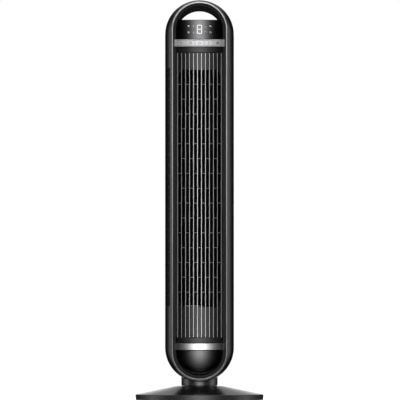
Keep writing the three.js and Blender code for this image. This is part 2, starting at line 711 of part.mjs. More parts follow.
// Short bars between the fins, staggered from row to row like bricks.
function crossbars(sides) {
  const rows = Math.floor((AIR_TOP - AIR_MIDDLE) / CROSSBAR_PITCH);
  const bars = [];
  for (let row = -rows; row <= rows; row += 1) {
    const z = AIR_MIDDLE + row * CROSSBAR_PITCH;
    for (let gap = -sides; gap <= sides; gap += 1) {
      if ((gap + row) % 2 !== 0) continue;
      const x = gap * FIN_PITCH;
      const inner = Math.max(-PANEL_HALF + 1, x - FIN_PITCH / 2);
      const outer = Math.min(PANEL_HALF - 1, x + FIN_PITCH / 2);
      const front = bowY(Math.min(Math.abs(inner), Math.abs(outer))) + CROSSBAR_RECESS;
      bars.push(box(
        inner, outer, front, front + CROSSBAR_DEPTH, z - CROSSBAR_HEIGHT / 2, z + CROSSBAR_HEIGHT / 2,
      ));
    }
  }
  return bars;
}

// ---------------------------------------------------------------------------- electronics

const displayBoard = () => common(
  box(
    BOARD_MARGIN - PANEL_HALF, PANEL_HALF - BOARD_MARGIN,
    DISPLAY_BOARD_Y, DISPLAY_BOARD_Y + BOARD_THICKNESS,
    CONTROL_BOTTOM + 2, DISPLAY_TOP - PANEL_WALL - 2,
  ),
  facePlate(PANEL_HALF - 2, DISPLAY_BOARD_Y - 1, RIM_BACK_Y),
);

function digitModule() {
  const middle = (DISPLAY_TOP + DISPLAY_BOTTOM) / 2;
  const front = bowY(DIGIT_HALF_WIDTH, BOW_RADIUS - PANEL_WALL) + 2 * CLEAR;
  return box(
    -DIGIT_HALF_WIDTH, DIGIT_HALF_WIDTH, front, DISPLAY_BOARD_Y - CLEAR,
    middle - DIGIT_HEIGHT / 2, middle + DIGIT_HEIGHT / 2,
  );
}

const POWER_BOARD_FRONT = -25;
const POWER_BOARD_BACK = 35;
const POWER_BOARD_LOW = 100;
const POWER_BOARD_HIGH = 190;

const powerBoard = () => box(
  POWER_BOARD_X, POWER_BOARD_X + BOARD_THICKNESS,
  POWER_BOARD_FRONT, POWER_BOARD_BACK, POWER_BOARD_LOW, POWER_BOARD_HIGH,
);

// A flat ribbon from the display board, down the right side, to the power board.
const RIBBON_X = PANEL_HALF - FIN_EDGE + CASING_WALL + RIBBON_GAP;
const RIBBON_END_X = POWER_BOARD_X + BOARD_THICKNESS + CLEAR;

function displayCable() {
  const start = DISPLAY_BOARD_Y + BOARD_THICKNESS + CLEAR;
  const back = RIBBON_Y + RIBBON_THICKNESS;
  const top = CONTROL_TOP - 2;
  const low = POWER_BOARD_LOW + 30;
  const inner = PANEL_HALF - BOARD_MARGIN - 6;
  const outer = RIBBON_X + RIBBON_WIDTH;
  return join(
    box(inner, inner + RIBBON_THICKNESS, start, back, top - RIBBON_WIDTH, top),
    box(inner, outer, RIBBON_Y, back, top - RIBBON_WIDTH, top),
    box(RIBBON_X, outer, RIBBON_Y, back, low, top),
    box(
      Math.min(RIBBON_X, RIBBON_END_X), Math.max(outer, RIBBON_END_X + RIBBON_THICKNESS),
      RIBBON_Y, back, low, low + RIBBON_WIDTH,
    ),
    box(
      RIBBON_END_X, RIBBON_END_X + RIBBON_THICKNESS, RIBBON_Y, POWER_BOARD_FRONT + RIBBON_WIDTH,
      low, low + RIBBON_WIDTH,
    ),
  );
}

function cordGland() {
  const body = alongY(GLAND_RADIUS, 0, GLAND_Z, BACK_Y - WALL - 4, BACK_Y + GLAND_REACH, 16);
  const flange = alongY(GLAND_FLANGE_RADIUS, 0, GLAND_Z, BACK_Y + CLEAR, BACK_Y + CLEAR + 2.2, 16);
  const bore = alongY(GLAND_BORE, 0, GLAND_Z, BACK_Y - 20, BACK_Y + 20, 16);
  return cut(join(body, flange), bore);
}

function housingScrew() {
  return join(
    alongY(SCREW_HEAD_RADIUS, 0, 0, CLEAR, CLEAR + SCREW_HEAD_HEIGHT),
    alongY(SCREW_RADIUS, 0, 0, -SCREW_LENGTH, CLEAR + 1),
  );
}

// ---------------------------------------------------------------------------- air path

// Inside of the housing between two heights, less a gap, from behind the front face.
function housingFill(z0, z1) {
  return common(
    housingForm(WALL + CLEAR, BULKHEAD_FRONT_Y, BACK_Y - WALL - CLEAR),
    box(-BODY_HALF_WIDTH, BODY_HALF_WIDTH, FRONT_Y, BACK_Y, z0, z1),
  );
}

const ribbonNotch = (z) => box(
  RIBBON_X - 1, RIBBON_X + RIBBON_WIDTH + 1, BULKHEAD_FRONT_Y - 1, RIBBON_Y + RIBBON_THICKNESS + 1,
  z - 1, z + BULKHEAD_WALL + 1,
);

function bulkhead(z, screwZ, hole) {
  const innerBack = BACK_Y - WALL - CLEAR;
  const front = innerBack - BOSS_LENGTH;
  const sides = [-SCREW_X, SCREW_X];
  const bosses = sides.map((x) => alongY(BOSS_RADIUS, x, screwZ, front, innerBack, 16));
  const holes = sides.map((x) => alongY(SCREW_RADIUS + CLEAR, x, screwZ, front - 1, BACK_Y));
  return cut(
    join(housingFill(z, z + BULKHEAD_WALL), ...bosses),
    upright(hole, IMPELLER_X, IMPELLER_Y, z - 1, z + BULKHEAD_WALL + 1, ROUND),
    ribbonNotch(z), ...holes,
  );
}

function polar(radius, degrees) {
  const angle = THREE.MathUtils.degToRad(degrees);
  return new THREE.Vector2(IMPELLER_X + radius * Math.cos(angle), IMPELLER_Y + radius * Math.sin(angle));
}

// Height range between the bulkheads.
const AIR_LOW_Z = LOWER_BULKHEAD_Z + BULKHEAD_WALL + CLEAR;
const AIR_HIGH_Z = UPPER_BULKHEAD_Z - CLEAR;

// A wall of even thickness on the left of a line of points.
function wallAlong(points, wall) {
  const outer = points.map((point, i) => {
    const before = points[Math.max(0, i - 1)];
    const after = points[Math.min(points.length - 1, i + 1)];
    const along = after.clone().sub(before).normalize();
    return new THREE.Vector2(point.x - wall * along.y, point.y + wall * along.x);
  });
  return new THREE.Shape([...points, ...outer.reverse()]);
}

function scrollCasing() {
  const steps = 16;
  const start = IMPELLER_RADIUS + CASING_GAP;
  const spiral = spread(CASING_START, CASING_END, steps).map((angle, i) =>
    polar(start + CASING_GROWTH * i / steps, angle));
  const mouth = new THREE.Vector2(PANEL_HALF - FIN_EDGE, AIR_FRONT_Y);
  return column(wallAlong([...spiral, mouth], CASING_WALL), AIR_LOW_Z, AIR_HIGH_Z);
}

function airTongue() {
  const mouth = PANEL_HALF - FIN_EDGE;
  const points = [
    polar(IMPELLER_RADIUS + CASING_GAP, 212),
    polar(IMPELLER_RADIUS + 2 * CASING_GAP, 200),
    new THREE.Vector2(-mouth - CASING_WALL, AIR_FRONT_Y),
    new THREE.Vector2(-mouth, AIR_FRONT_Y),
  ];
  return column(new THREE.Shape(points), AIR_LOW_Z, AIR_HIGH_Z);
}

function impeller() {
  const inner = IMPELLER_RADIUS - BLADE_DEPTH;
  const pieces = [];
  for (let i = 0; i < DISC_COUNT; i += 1) {
    const last = i === DISC_COUNT - 1;
    const z = IMPELLER_LOW + (IMPELLER_HIGH - DISC_THICKNESS - IMPELLER_LOW) * i / (DISC_COUNT - 1);
    const closed = i === 0 || last;
    const bore = closed ? SHAFT_RADIUS + CLEAR : inner - 6;
    pieces.push(ring(bore, IMPELLER_RADIUS, z, z + DISC_THICKNESS));
  }
  const hub = (z0, z1) => ring(SHAFT_RADIUS + CLEAR, HUB_RADIUS, z0, z1, 16);
  pieces.push(hub(IMPELLER_LOW, IMPELLER_LOW + HUB_LENGTH));
  pieces.push(hub(IMPELLER_HIGH - HUB_LENGTH, IMPELLER_HIGH));
  for (let i = 0; i < BLADE_COUNT; i += 1) {
    const blade = new THREE.BoxGeometry(
      BLADE_DEPTH, BLADE_THICKNESS, IMPELLER_HIGH - IMPELLER_LOW - DISC_THICKNESS,
    );
    blade.rotateZ(THREE.MathUtils.degToRad(BLADE_TILT));
    blade.translate(inner + BLADE_DEPTH / 2, 0, (IMPELLER_HIGH + IMPELLER_LOW) / 2);
    blade.rotateZ(2 * Math.PI * i / BLADE_COUNT);
    pieces.push(solid(blade));
  }
  return join(...pieces).translate([IMPELLER_X, IMPELLER_Y, 0]);
}

// ---------------------------------------------------------------------------- motor

const atImpeller = (piece) => piece.translate([IMPELLER_X, IMPELLER_Y, 0]);
const MOTOR_CAP_Z = MOTOR_TOP - 2;
const STATOR_Z = MOTOR_BOTTOM + (MOTOR_HEIGHT - STATOR_HEIGHT) / 2;
const STATOR_RADIUS = MOTOR_RADIUS - MOTOR_WALL - CLEAR;
const SHAFT_LOW = MOTOR_BOTTOM + MOTOR_WALL + SHAFT_END_ROOM;

const motorCan = () => atImpeller(turned([
  [0, MOTOR_BOTTOM], [MOTOR_RADIUS, MOTOR_BOTTOM], [MOTOR_RADIUS, MOTOR_CAP_Z - CLEAR],
  [MOTOR_RADIUS - MOTOR_WALL, MOTOR_CAP_Z - CLEAR], [MOTOR_RADIUS - MOTOR_WALL, MOTOR_BOTTOM + MOTOR_WALL],
  [0, MOTOR_BOTTOM + MOTOR_WALL],
]));
const motorCap = () => atImpeller(ring(SHAFT_RADIUS + 2 * CLEAR, MOTOR_RADIUS, MOTOR_CAP_Z, MOTOR_TOP));
const motorStator = () => atImpeller(
  ring(ROTOR_RADIUS + 2 * CLEAR, STATOR_RADIUS, STATOR_Z, STATOR_Z + STATOR_HEIGHT),
);
const motorRotor = () => atImpeller(
  ring(SHAFT_RADIUS + CLEAR, ROTOR_RADIUS, STATOR_Z, STATOR_Z + STATOR_HEIGHT),
);
const motorShaft = () => atImpeller(disc(SHAFT_RADIUS, SHAFT_LOW, IMPELLER_LOW + HUB_LENGTH, 16));

const BEARING_Z = UPPER_BULKHEAD_Z - (BEARING_HEIGHT - BULKHEAD_WALL) / 2;
const topPin = () => atImpeller(
  disc(SHAFT_RADIUS, IMPELLER_HIGH - HUB_LENGTH, IMPELLER_HIGH - HUB_LENGTH + TOP_PIN_LENGTH, 16),
);
const upperBearing = () => atImpeller(
  ring(SHAFT_RADIUS + CLEAR, BEARING_RADIUS, BEARING_Z + 2, BEARING_Z + BEARING_HEIGHT, 16),
);
const bearingBush = () => atImpeller(
  ring(BEARING_RADIUS + CLEAR, BUSH_RADIUS, BEARING_Z + 2, BEARING_Z + BEARING_HEIGHT, 32),
);

// ---------------------------------------------------------------------------- neck and swing drive

function neck() {
  const discBottom = NECK_TOP - NECK_DISC;
  const body = turned([
    [NECK_INNER, NECK_BOTTOM], [NECK_RADIUS, NECK_BOTTOM], [NECK_TOP_RADIUS, NECK_TOP],
    [POST_HOLE, NECK_TOP], [POST_HOLE, discBottom], [NECK_INNER, discBottom],
    [NECK_INNER, RUNNER_Z + RUNNER_THICKNESS], [GLIDE_INNER - 0.5, RUNNER_Z + RUNNER_THICKNESS],
    [GLIDE_INNER - 0.5, RUNNER_Z], [NECK_INNER, RUNNER_Z], [NECK_INNER, NECK_BOTTOM],
  ], NECK_FACETS);
  return cut(body, upright(PINION_SHAFT_RADIUS + 2 * CLEAR, 0, PINION_Y, discBottom - 1, NECK_TOP + 1, 16));
}

// A spur gear's outline with straight-sided teeth, the first one centred on the given angle.
function gearShape(teeth, firstAngle) {
  const pitchRadius = GEAR_MODULE * teeth / 2;
  const root = pitchRadius - TOOTH_ROOT * GEAR_MODULE;
  const tip = pitchRadius + TOOTH_TIP * GEAR_MODULE;
  const rootHalf = 0.62 * GEAR_MODULE / root;
  const tipHalf = 0.26 * GEAR_MODULE / tip;
  const points = [];
  for (let i = 0; i < teeth; i += 1) {
    const middle = firstAngle + 2 * Math.PI * i / teeth;
    for (const [radius, offset] of [[root, -rootHalf], [tip, -tipHalf], [tip, tipHalf], [root, rootHalf]]) {
      points.push(new THREE.Vector2(
        radius * Math.cos(middle + offset), radius * Math.sin(middle + offset),
      ));
    }
  }
  return new THREE.Shape(points);
}

const fixedGear = () => cut(
  column(gearShape(GEAR_TEETH, Math.PI / 2 + Math.PI / GEAR_TEETH), GEAR_Z, GEAR_Z + GEAR_HEIGHT),
  disc(POST_HOLE, GEAR_Z - 1, GEAR_Z + GEAR_HEIGHT + 1),
);

const PINION_SHAFT_TOP = NECK_TOP + 5;

function swingPinion() {
  const gear = column(gearShape(PINION_TEETH, -Math.PI / 2), GEAR_Z + 1, GEAR_Z + GEAR_HEIGHT - 1);
  return join(gear, disc(PINION_SHAFT_RADIUS, GEAR_Z + 0.5, PINION_SHAFT_TOP, 16));
}

function swingMotor() {
  const base = NECK_TOP + CLEAR;
  return cut(
    upright(SWING_MOTOR_RADIUS, 0, PINION_Y + SWING_MOTOR_OFFSET, base, base + SWING_MOTOR_HEIGHT, 32),
    upright(PINION_SHAFT_RADIUS + 2 * CLEAR, 0, PINION_Y, base - 1, PINION_SHAFT_TOP + 1, 16),
  );
}

const glideRing = () => ring(GLIDE_INNER, GLIDE_OUTER, GLIDE_Z, GLIDE_Z + GLIDE_THICKNESS);

const WASHER_Z = NECK_TOP + CLEAR;
const CLIP_Z = WASHER_Z + WASHER_THICKNESS + CLEAR;
const washer = () => ring(POST_HOLE, WASHER_RADIUS, WASHER_Z, WASHER_Z + WASHER_THICKNESS);
const clip = () => ring(POST_HOLE, CLIP_RADIUS, CLIP_Z, CLIP_Z + CLIP_THICKNESS);

// ---------------------------------------------------------------------------- base

function baseCover() {
  const topInner = BASE_TOP - BASE_WALL;
  return turned([
    [BASE_BORE, topInner], [BASE_BORE, BASE_TOP], [BASE_TOP_RADIUS, BASE_TOP],
    [BASE_RADIUS, BASE_EDGE], [BASE_RADIUS, BASE_RIM_BOTTOM],
    [BASE_RADIUS - BASE_WALL, BASE_RIM_BOTTOM], [BASE_RADIUS - BASE_WALL, BASE_EDGE - BASE_WALL + 0.8],
    [BASE_TOP_RADIUS - 0.5, topInner], [BASE_BORE, topInner],
  ], BASE_FACETS);
}

function postScrewPlaces() {
  return Array.from({ length: POST_SCREW_COUNT }, (_, i) => {
    const angle = 2 * Math.PI * i / POST_SCREW_COUNT + Math.PI / 6;
    return [POST_SCREW_CIRCLE * Math.cos(angle), POST_SCREW_CIRCLE * Math.sin(angle)];
  });
}

function pivotPost() {
  const body = turned([
    [POST_BORE, POST_FLANGE_Z], [POST_FLANGE_RADIUS, POST_FLANGE_Z],
    [POST_FLANGE_RADIUS, POST_FLANGE_Z + POST_FLANGE], [POST_RADIUS, POST_FLANGE_Z + POST_FLANGE],
    [POST_RADIUS, POST_TOP], [POST_BORE, POST_TOP], [POST_BORE, POST_FLANGE_Z],
  ]);
  const holes = postScrewPlaces().map(([x, y]) =>
    upright(SCREW_RADIUS + CLEAR, x, y, POST_FLANGE_Z - 1, POST_FLANGE_Z + POST_FLANGE + 1, 8));
  return cut(body, ...holes);
}

// Each screw holds the post's flange up against the base cover from below.
const postScrewHoles = () => postScrewPlaces().map(([x, y]) =>
  upright(SCREW_RADIUS + CLEAR, x, y, BASE_TOP - BASE_WALL - 1, BASE_TOP - 0.8, 8));

const postScrew = () => join(
  disc(SCREW_HEAD_RADIUS, -SCREW_HEAD_HEIGHT - CLEAR, -CLEAR, 8),
  disc(SCREW_RADIUS, -CLEAR - 1, POST_FLANGE + 2, 8),
);

const basePlate = () => disc(BASE_RADIUS - BASE_WALL - CLEAR, PLATE_BOTTOM, PLATE_TOP, BASE_FACETS);
const foot = () => turned([
  [0, 0], [FOOT_RADIUS - 1, 0], [FOOT_RADIUS, 1], [FOOT_RADIUS, PLATE_BOTTOM - CLEAR],
  [0, PLATE_BOTTOM - CLEAR],
], 14);

// ---------------------------------------------------------------------------- assembly

// A solid as a named mesh of the scene.
function part(name, shape, finish) {
  const { vertProperties, triVerts } = shape.getMesh();
  const geometry = new THREE.BufferGeometry();
  geometry.setAttribute('position', new THREE.BufferAttribute(vertProperties, 3));
  geometry.setIndex(new THREE.BufferAttribute(triVerts, 1));
  const mesh = new THREE.Mesh(geometry, finish);
  geometry.computeVertexNormals();
  mesh.name = name;
  return mesh;
}

// Copies of one solid, each its own mesh at its own place.
function copies(name, shape, finish, places) {
  return places.map(([x, y, z], i) => {
    const mesh = part(`${name}_${i + 1}`, shape, finish);
    mesh.position.set(x, y, z);
    return mesh;
  });
}

const base = new THREE.Group();
const footCircle = BASE_RADIUS - FOOT_INSET;
const footPlaces = Array.from({ length: FOOT_COUNT }, (_, i) => {
  const angle = 2 * Math.PI * i / FOOT_COUNT - Math.PI / 2;
  return [footCircle * Math.cos(angle), footCircle * Math.sin(angle), 0];
});
base.add(
  part('base_cover', cut(baseCover(), ...postScrewHoles()), GLOSS_BLACK),
  part('base_plate', basePlate(), MATT_BLACK),
  part('pivot_post', pivotPost(), NYLON),
  part('glide_ring', glideRing(), NYLON),
  part('fixed_gear', fixedGear(), NYLON),
  part('retaining_washer', washer(), STEEL),
  part('retaining_clip', clip(), STEEL),
  ...copies('foot', foot(), RUBBER, footPlaces),
  ...copies('post_screw', postScrew(), STEEL, postScrewPlaces().map(([x, y]) => [x, y, POST_FLANGE_Z])),
);

const tower = new THREE.Group();
tower.add(
  part('front_housing', frontHousing(), GLOSS_BLACK),
  part('rear_housing', rearHousing(), GLOSS_BLACK),
  part('rear_crown', rearCrown(), GLOSS_BLACK),
  part('hand_hole_sleeve', handHoleSleeve(), MATT_BLACK),
  part('intake_grille', intakeGrille(), SATIN_BLACK),
  part('trim_ring', trimRing(), SILVER),
  part('front_bezel', frontBezel(), MATT_BLACK),
  part('display_cover', displayCover(), GLOSS_BLACK),
  part('control_bar', controlBar(), SILVER),
  part('front_grille', frontGrille(), SATIN_BLACK),
  part('badge_strip', silverBar(BADGE_BOTTOM, BADGE_TOP), SILVER),
  part('lower_cover', lowerCover(), SATIN_BLACK),
  part('key_mat', keyMat(), RUBBER),
  part('display_board', displayBoard(), BOARD_GREEN),
  part('digit_module', digitModule(), MATT_BLACK),
  part('power_board', powerBoard(), BOARD_GREEN),
  part('display_cable', displayCable(), RIBBON_GREY),
  part('cord_gland', cordGland(), RUBBER),
  part('upper_bulkhead', bulkhead(UPPER_BULKHEAD_Z, UPPER_SCREW_Z, BUSH_RADIUS + CLEAR), CHASSIS_GREY),
  part('lower_bulkhead', bulkhead(LOWER_BULKHEAD_Z, LOWER_SCREW_Z, SHAFT_RADIUS + 4), CHASSIS_GREY),
  part('scroll_casing', scrollCasing(), CHASSIS_GREY),
  part('air_tongue', airTongue(), CHASSIS_GREY),
  part('upper_bearing', upperBearing(), COPPER),
  part('bearing_bush', bearingBush(), RUBBER),
  part('motor_can', motorCan(), ALUMINIUM),
  part('motor_cap', motorCap(), ALUMINIUM),
  part('motor_stator', motorStator(), COPPER),
  part('neck', neck(), GLOSS_BLACK),
  part('swing_motor', swingMotor(), ALUMINIUM),
  ...copies('housing_screw', housingScrew(), STEEL, screwPlaces().map(([x, z]) => [x, BACK_Y, z])),
);

const keys = new THREE.Group();
for (let i = 0; i < KEY_COUNT; i += 1) keys.add(part(`key_${i + 1}`, key(i), KEY_SILVER));

const spinning = new THREE.Group();
spinning.add(
  part('impeller', impeller(), IMPELLER_GREY),
  part('motor_shaft', motorShaft(), STEEL),
  part('motor_rotor', motorRotor(), STEEL),
  part('impeller_pin', topPin(), STEEL),
);

const pinion = part('swing_pinion', swingPinion(), NYLON);
pinion.position.set(0, PINION_Y, 0);

tower.add(keys, spinning, pinion);

const towerFan = new THREE.Group();
towerFan.add(base, tower);

export default towerFan;
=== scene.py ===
"""An upright tower fan on its round base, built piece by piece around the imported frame."""

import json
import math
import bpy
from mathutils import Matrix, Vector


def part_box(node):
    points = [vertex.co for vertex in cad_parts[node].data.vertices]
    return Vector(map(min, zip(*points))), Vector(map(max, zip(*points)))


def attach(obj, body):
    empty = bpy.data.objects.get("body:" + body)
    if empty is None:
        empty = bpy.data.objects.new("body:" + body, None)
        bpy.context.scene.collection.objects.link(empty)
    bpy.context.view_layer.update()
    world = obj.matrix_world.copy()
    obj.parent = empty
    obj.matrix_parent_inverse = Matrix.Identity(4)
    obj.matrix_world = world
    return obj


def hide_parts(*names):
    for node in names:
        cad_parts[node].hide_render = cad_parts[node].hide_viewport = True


bl_info = {
    "name": "Tower Fan Builder",
    "version": (1, 0, 0),
    "blender": (4, 5, 0),
    "location": "3D Viewport > Sidebar > Tower Fan",
    "description": "Builds an upright tower fan with its grilles, keys, base and studio stage",
    "category": "Add Mesh",
}

import bmesh
import bpy
from bpy.props import FloatProperty, FloatVectorProperty, IntProperty, PointerProperty
from mathutils import Matrix, Vector

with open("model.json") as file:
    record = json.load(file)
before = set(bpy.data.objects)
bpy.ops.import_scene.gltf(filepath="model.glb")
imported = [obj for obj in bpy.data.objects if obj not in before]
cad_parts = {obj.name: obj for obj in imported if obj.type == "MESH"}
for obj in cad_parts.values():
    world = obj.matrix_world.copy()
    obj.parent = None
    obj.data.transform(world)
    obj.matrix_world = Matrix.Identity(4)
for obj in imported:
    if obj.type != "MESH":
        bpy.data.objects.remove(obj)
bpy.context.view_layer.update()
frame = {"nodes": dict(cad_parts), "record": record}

MM = 0.001
DEPTH = Vector((0, 1, 0))
MERGE = 0.001 * MM                  # points nearer than this become one
HAIR = 0.0001 * MM                  # rounding error allowed in a comparison
GAP = 0.3 * MM                      # between two moulded parts
SPARE = 10 * MM                     # cutters reach this far past the surface
UPRIGHT = Matrix.Rotation(math.pi / 2, 4, "X")      # turns a flat disc to the front
SHARP_ANGLE = math.radians(38)


def span(node, axis):
    """Lowest and highest coordinate of a CAD node along one axis (0, 1 or 2)."""
    low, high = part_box(node)
    return low[axis], high[axis]


# ---------------------------------------------------------------- sizes and colours


def metres(name, description, default):
    """A size property in metres."""
    return FloatProperty(name=name, description=description, default=default, unit="LENGTH")


def tint(name, description, default):
    """A colour property."""
    return FloatVectorProperty(
        name=name, description=description, default=default, subtype="COLOR", size=3,
        min=0, max=1)


class FanHousingSettings(bpy.types.PropertyGroup):
    """Sizes of the tall gloss housing."""

    half_width: metres(
        "Half width", "Half the housing's width at its widest",
        span("front_housing", 0)[1])
    top: metres("Top", "Height of the housing's crown", span("front_housing", 2)[1])
    bottom: metres("Bottom", "Height of the housing's underside", span("front_housing", 2)[0])
    front: metres("Front lip", "Depth of the front lip", span("front_housing", 1)[0])
    back: metres("Back", "Depth of the flat back", span("rear_housing", 1)[1])
    wall: metres("Wall", "Thickness of the moulded wall", 2.5 * MM)
    shoulder: metres(
        "Shoulder depth", "Where the rounded front shoulder meets the flat side",
        -42 * MM)
    lip_inset: metres("Lip inset", "How far the front lip stands inside the widest part", 13 * MM)
    rear_start: metres("Rear curve start", "Depth where the rear curve begins", -10 * MM)
    rear_reach: metres("Rear curve reach", "Depth of the full rear curve", 88 * MM)
    rear_power: FloatProperty(
        name="Rear squareness", description="Exponent of the rear curve", default=2.3)
    crown_start: metres("Crown start", "Behind this depth the top slopes down", -45 * MM)
    crown_drop: metres("Crown drop", "How far the top slopes down by the back", 125 * MM)
    tail_start: metres("Tail start", "Behind this depth the underside rises", 20 * MM)
    tail_rise: metres("Tail rise", "How far the underside rises by the back", 37 * MM)
    slot_pitch: metres("Slot pitch", "Distance between two columns of intake slots", 6.2 * MM)
    slot_row: metres("Slot row", "Height of one intake slot with its bridge", 25.4 * MM)


class FanFaceSettings(bpy.types.PropertyGroup):
    """Sizes of the front face."""

    arc_top: metres(
        "Upper arc centre", "Height of the centre of the face's upper arc",
        span("trim_ring", 2)[1] - span("trim_ring", 0)[1])
    arc_bottom: metres(
        "Lower arc centre", "Height of the centre of the face's lower arc",
        span("trim_ring", 2)[0] + span("trim_ring", 0)[1])
    outer: metres("Trim radius", "Outer radius of the trim ring", span("trim_ring", 0)[1])
    trim_width: metres("Trim width", "Width of the trim ring", 3.6 * MM)
    crown_sag: metres("Trim sag", "How much wider the trim ring is at its very top", 1.2 * MM)
    half: metres(
        "Panel half width", "Half the width of the bowed panels",
        span("display_cover", 0)[1])
    crown: metres("Crown depth", "Foremost line of the bowed front", span("display_cover", 1)[0])
    bow_sag: metres("Bow", "How far the bowed front falls back at its sides", 9.8 * MM)
    bar_proud: metres("Bar height", "How far the silver bars stand out", 1.5 * MM)
    fin_count: IntProperty(name="Fins", description="Upright fins of the outlet", default=12)
    fin_pitch: metres("Fin pitch", "Distance between two fins", 9.18 * MM)
    fin_width: metres("Fin width", "Thickness of a fin", 1.65 * MM)
    fin_depth: metres("Fin depth", "Depth of a fin", 8.5 * MM)
    crossbar_pitch: metres("Crossbar pitch", "Height between two rows of crossbars", 34.1 * MM)


class FanFinishSettings(bpy.types.PropertyGroup):
    """Colours of the main finishes."""

    housing: tint("Housing", "Gloss housing colour", (0.010, 0.010, 0.0105))
    silver: tint("Silver", "Colour of the silver bars", (0.70, 0.70, 0.71))
    fin: tint("Fins", "Colour of the outlet fins", (0.46, 0.46, 0.465))
    glow: tint("Digits", "Colour of the lit digits", (1.0, 1.0, 1.0))


# ---------------------------------------------------------------- shader expressions


class Wire:
    """A shader socket that takes part in Python sums; each sum adds its Math node."""

    def __init__(self, shader, socket):
        self.shader = shader
        self.socket = socket

    def math(self, operation, *values):
        settings = {"operation": operation}
        return self.shader.node("ShaderNodeMath", settings, dict(enumerate(values)))

    def __add__(self, other):
        return self.math("ADD", self, other)

    def __radd__(self, other):
        return self.math("ADD", other, self)

    def __sub__(self, other):
        return self.math("SUBTRACT", self, other)

    def __rsub__(self, other):
        return self.math("SUBTRACT", other, self)

    def __mul__(self, other):
        return self.math("MULTIPLY", self, other)

    def __rmul__(self, other):
        return self.math("MULTIPLY", other, self)

    def __truediv__(self, other):
        return self.math("DIVIDE", self, other)

    def __pow__(self, other):
        return self.math("POWER", self, other)

    def __abs__(self):
        return self.math("ABSOLUTE", self)

    def under(self, edge):
        return self.math("LESS_THAN", self, edge)

    def bell(self, middle, width):
        """1 at the middle, falling off like a bell to either side."""
        offset = (self - middle) / width
        return self.math("EXPONENT", 0 - offset * offset)

    def ramp(self, low, high):
        """0 below low, 1 above high and smooth between them."""
        return self.shader.node(
            "ShaderNodeMapRange", {"interpolation_type": "SMOOTHSTEP"},
            {"Value": self, "From Min": low, "From Max": high})


class Shader:
    """A material or world whose nodes are made from Python expressions."""

    def __init__(self, owner):
        owner.use_nodes = True
        self.owner = owner
        self.tree = owner.node_tree
        self.tree.nodes.clear()

    def node(self, kind, settings=None, values=None, output=0):
        made = self.tree.nodes.new(kind)
        for name, value in (settings or {}).items():
            if name == "stops":
                self.set_stops(made.color_ramp, value)
            else:
                setattr(made, name, value)
        for name, value in (values or {}).items():
            if isinstance(value, Wire):
                self.tree.links.new(value.socket, made.inputs[name])
            else:
                made.inputs[name].default_value = value
        return Wire(self, made.outputs[output]) if made.outputs else made

    @staticmethod
    def set_stops(ramp, stops):
        while len(ramp.elements) < len(stops):
            ramp.elements.new(1.0)
        for element, (place, colour) in zip(ramp.elements, stops):
            element.position = place
            element.color = colour

    def split(self, vector):
        made = self.tree.nodes.new("ShaderNodeSeparateXYZ")
        self.tree.links.new(vector.socket, made.inputs[0])
        return [Wire(self, made.outputs[i]) for i in range(3)]

    def place(self, stretch=(1, 1, 1)):
        """Object coordinates in metres, stretched per axis."""
        spot = self.node("ShaderNodeTexCoord", output="Object")
        return self.node("ShaderNodeMapping", {}, {"Vector": spot, "Scale": stretch})

    def noise(self, scale, detail=2.0, stretch=(1, 1, 1)):
        return self.node(
            "ShaderNodeTexNoise", {"noise_dimensions": "3D"},
            {"Vector": self.place(stretch), "Scale": scale, "Detail": detail})

    def blend(self, factor, first, second):
        """A colour between two colours."""
        made = self.tree.nodes.new("ShaderNodeMix")
        made.data_type = "RGBA"
        wanted = {("Factor", "VALUE"): factor, ("A", "RGBA"): first, ("B", "RGBA"): second}
        for socket in made.inputs:
            if (socket.name, socket.type) in wanted:
                value = wanted[socket.name, socket.type]
                if isinstance(value, Wire):
                    self.tree.links.new(value.socket, socket)
                else:
                    socket.default_value = value
        return Wire(self, next(s for s in made.outputs if s.type == "RGBA"))

    def bump(self, height, strength, distance):
        return self.node(
            "ShaderNodeBump", {},
            {"Height": height, "Strength": strength, "Distance": distance}, output="Normal")

    def surface(self, **sockets):
        """The principled surface, with its sockets by name, as the material's output."""
        names = {name.replace("_", " ").title(): value for name, value in sockets.items()}
        if "Ior" in names:
            names["IOR"] = names.pop("Ior")
        if "Specular Ior Level" in names:
            names["Specular IOR Level"] = names.pop("Specular Ior Level")
        skin = self.node("ShaderNodeBsdfPrincipled", {}, names)
        self.node("ShaderNodeOutputMaterial", {}, {"Surface": skin})
        return self.owner


def solid_colour(rgb):
    return (*rgb, 1.0)


FINISHES = {}


def finish(name):
    """Looks a finish up by its name and makes it the first time."""
    if name not in FINISHES:
        material = bpy.data.materials.new(name)
        FINISHES[name] = FINISH_MAKERS[name](Shader(material))
    return FINISHES[name]


def gloss_plastic(shader, colour, roughness=0.09, specular=0.5):
    """Polished black moulding with a faint ripple and dust-dulled patches."""
    haze = shader.noise(38, 3)
    ripple = shader.noise(95, 1)
    tone = shader.blend(haze.ramp(0.4, 0.75), solid_colour(colour),
                        solid_colour([c * 1.35 + 0.001 for c in colour]))
    return shader.surface(
        base_color=tone, roughness=roughness + haze * 0.07, specular_ior_level=specular,
        normal=shader.bump(ripple, 0.03, 0.0003))


def grained_plastic(shader, colour, roughness, grain=900.0, depth=0.35, specular=0.5):
    """Spark-eroded moulding: a fine even grain with a slow change of tone."""
    fine = shader.noise(grain, 2)
    slow = shader.noise(22, 2)
    tone = shader.blend(slow, solid_colour([c * 0.86 for c in colour]),
                        solid_colour([c * 1.14 for c in colour]))
    return shader.surface(
        base_color=tone, roughness=roughness + fine * 0.12 - 0.06, specular_ior_level=specular,
        normal=shader.bump(fine, depth, 0.00012))


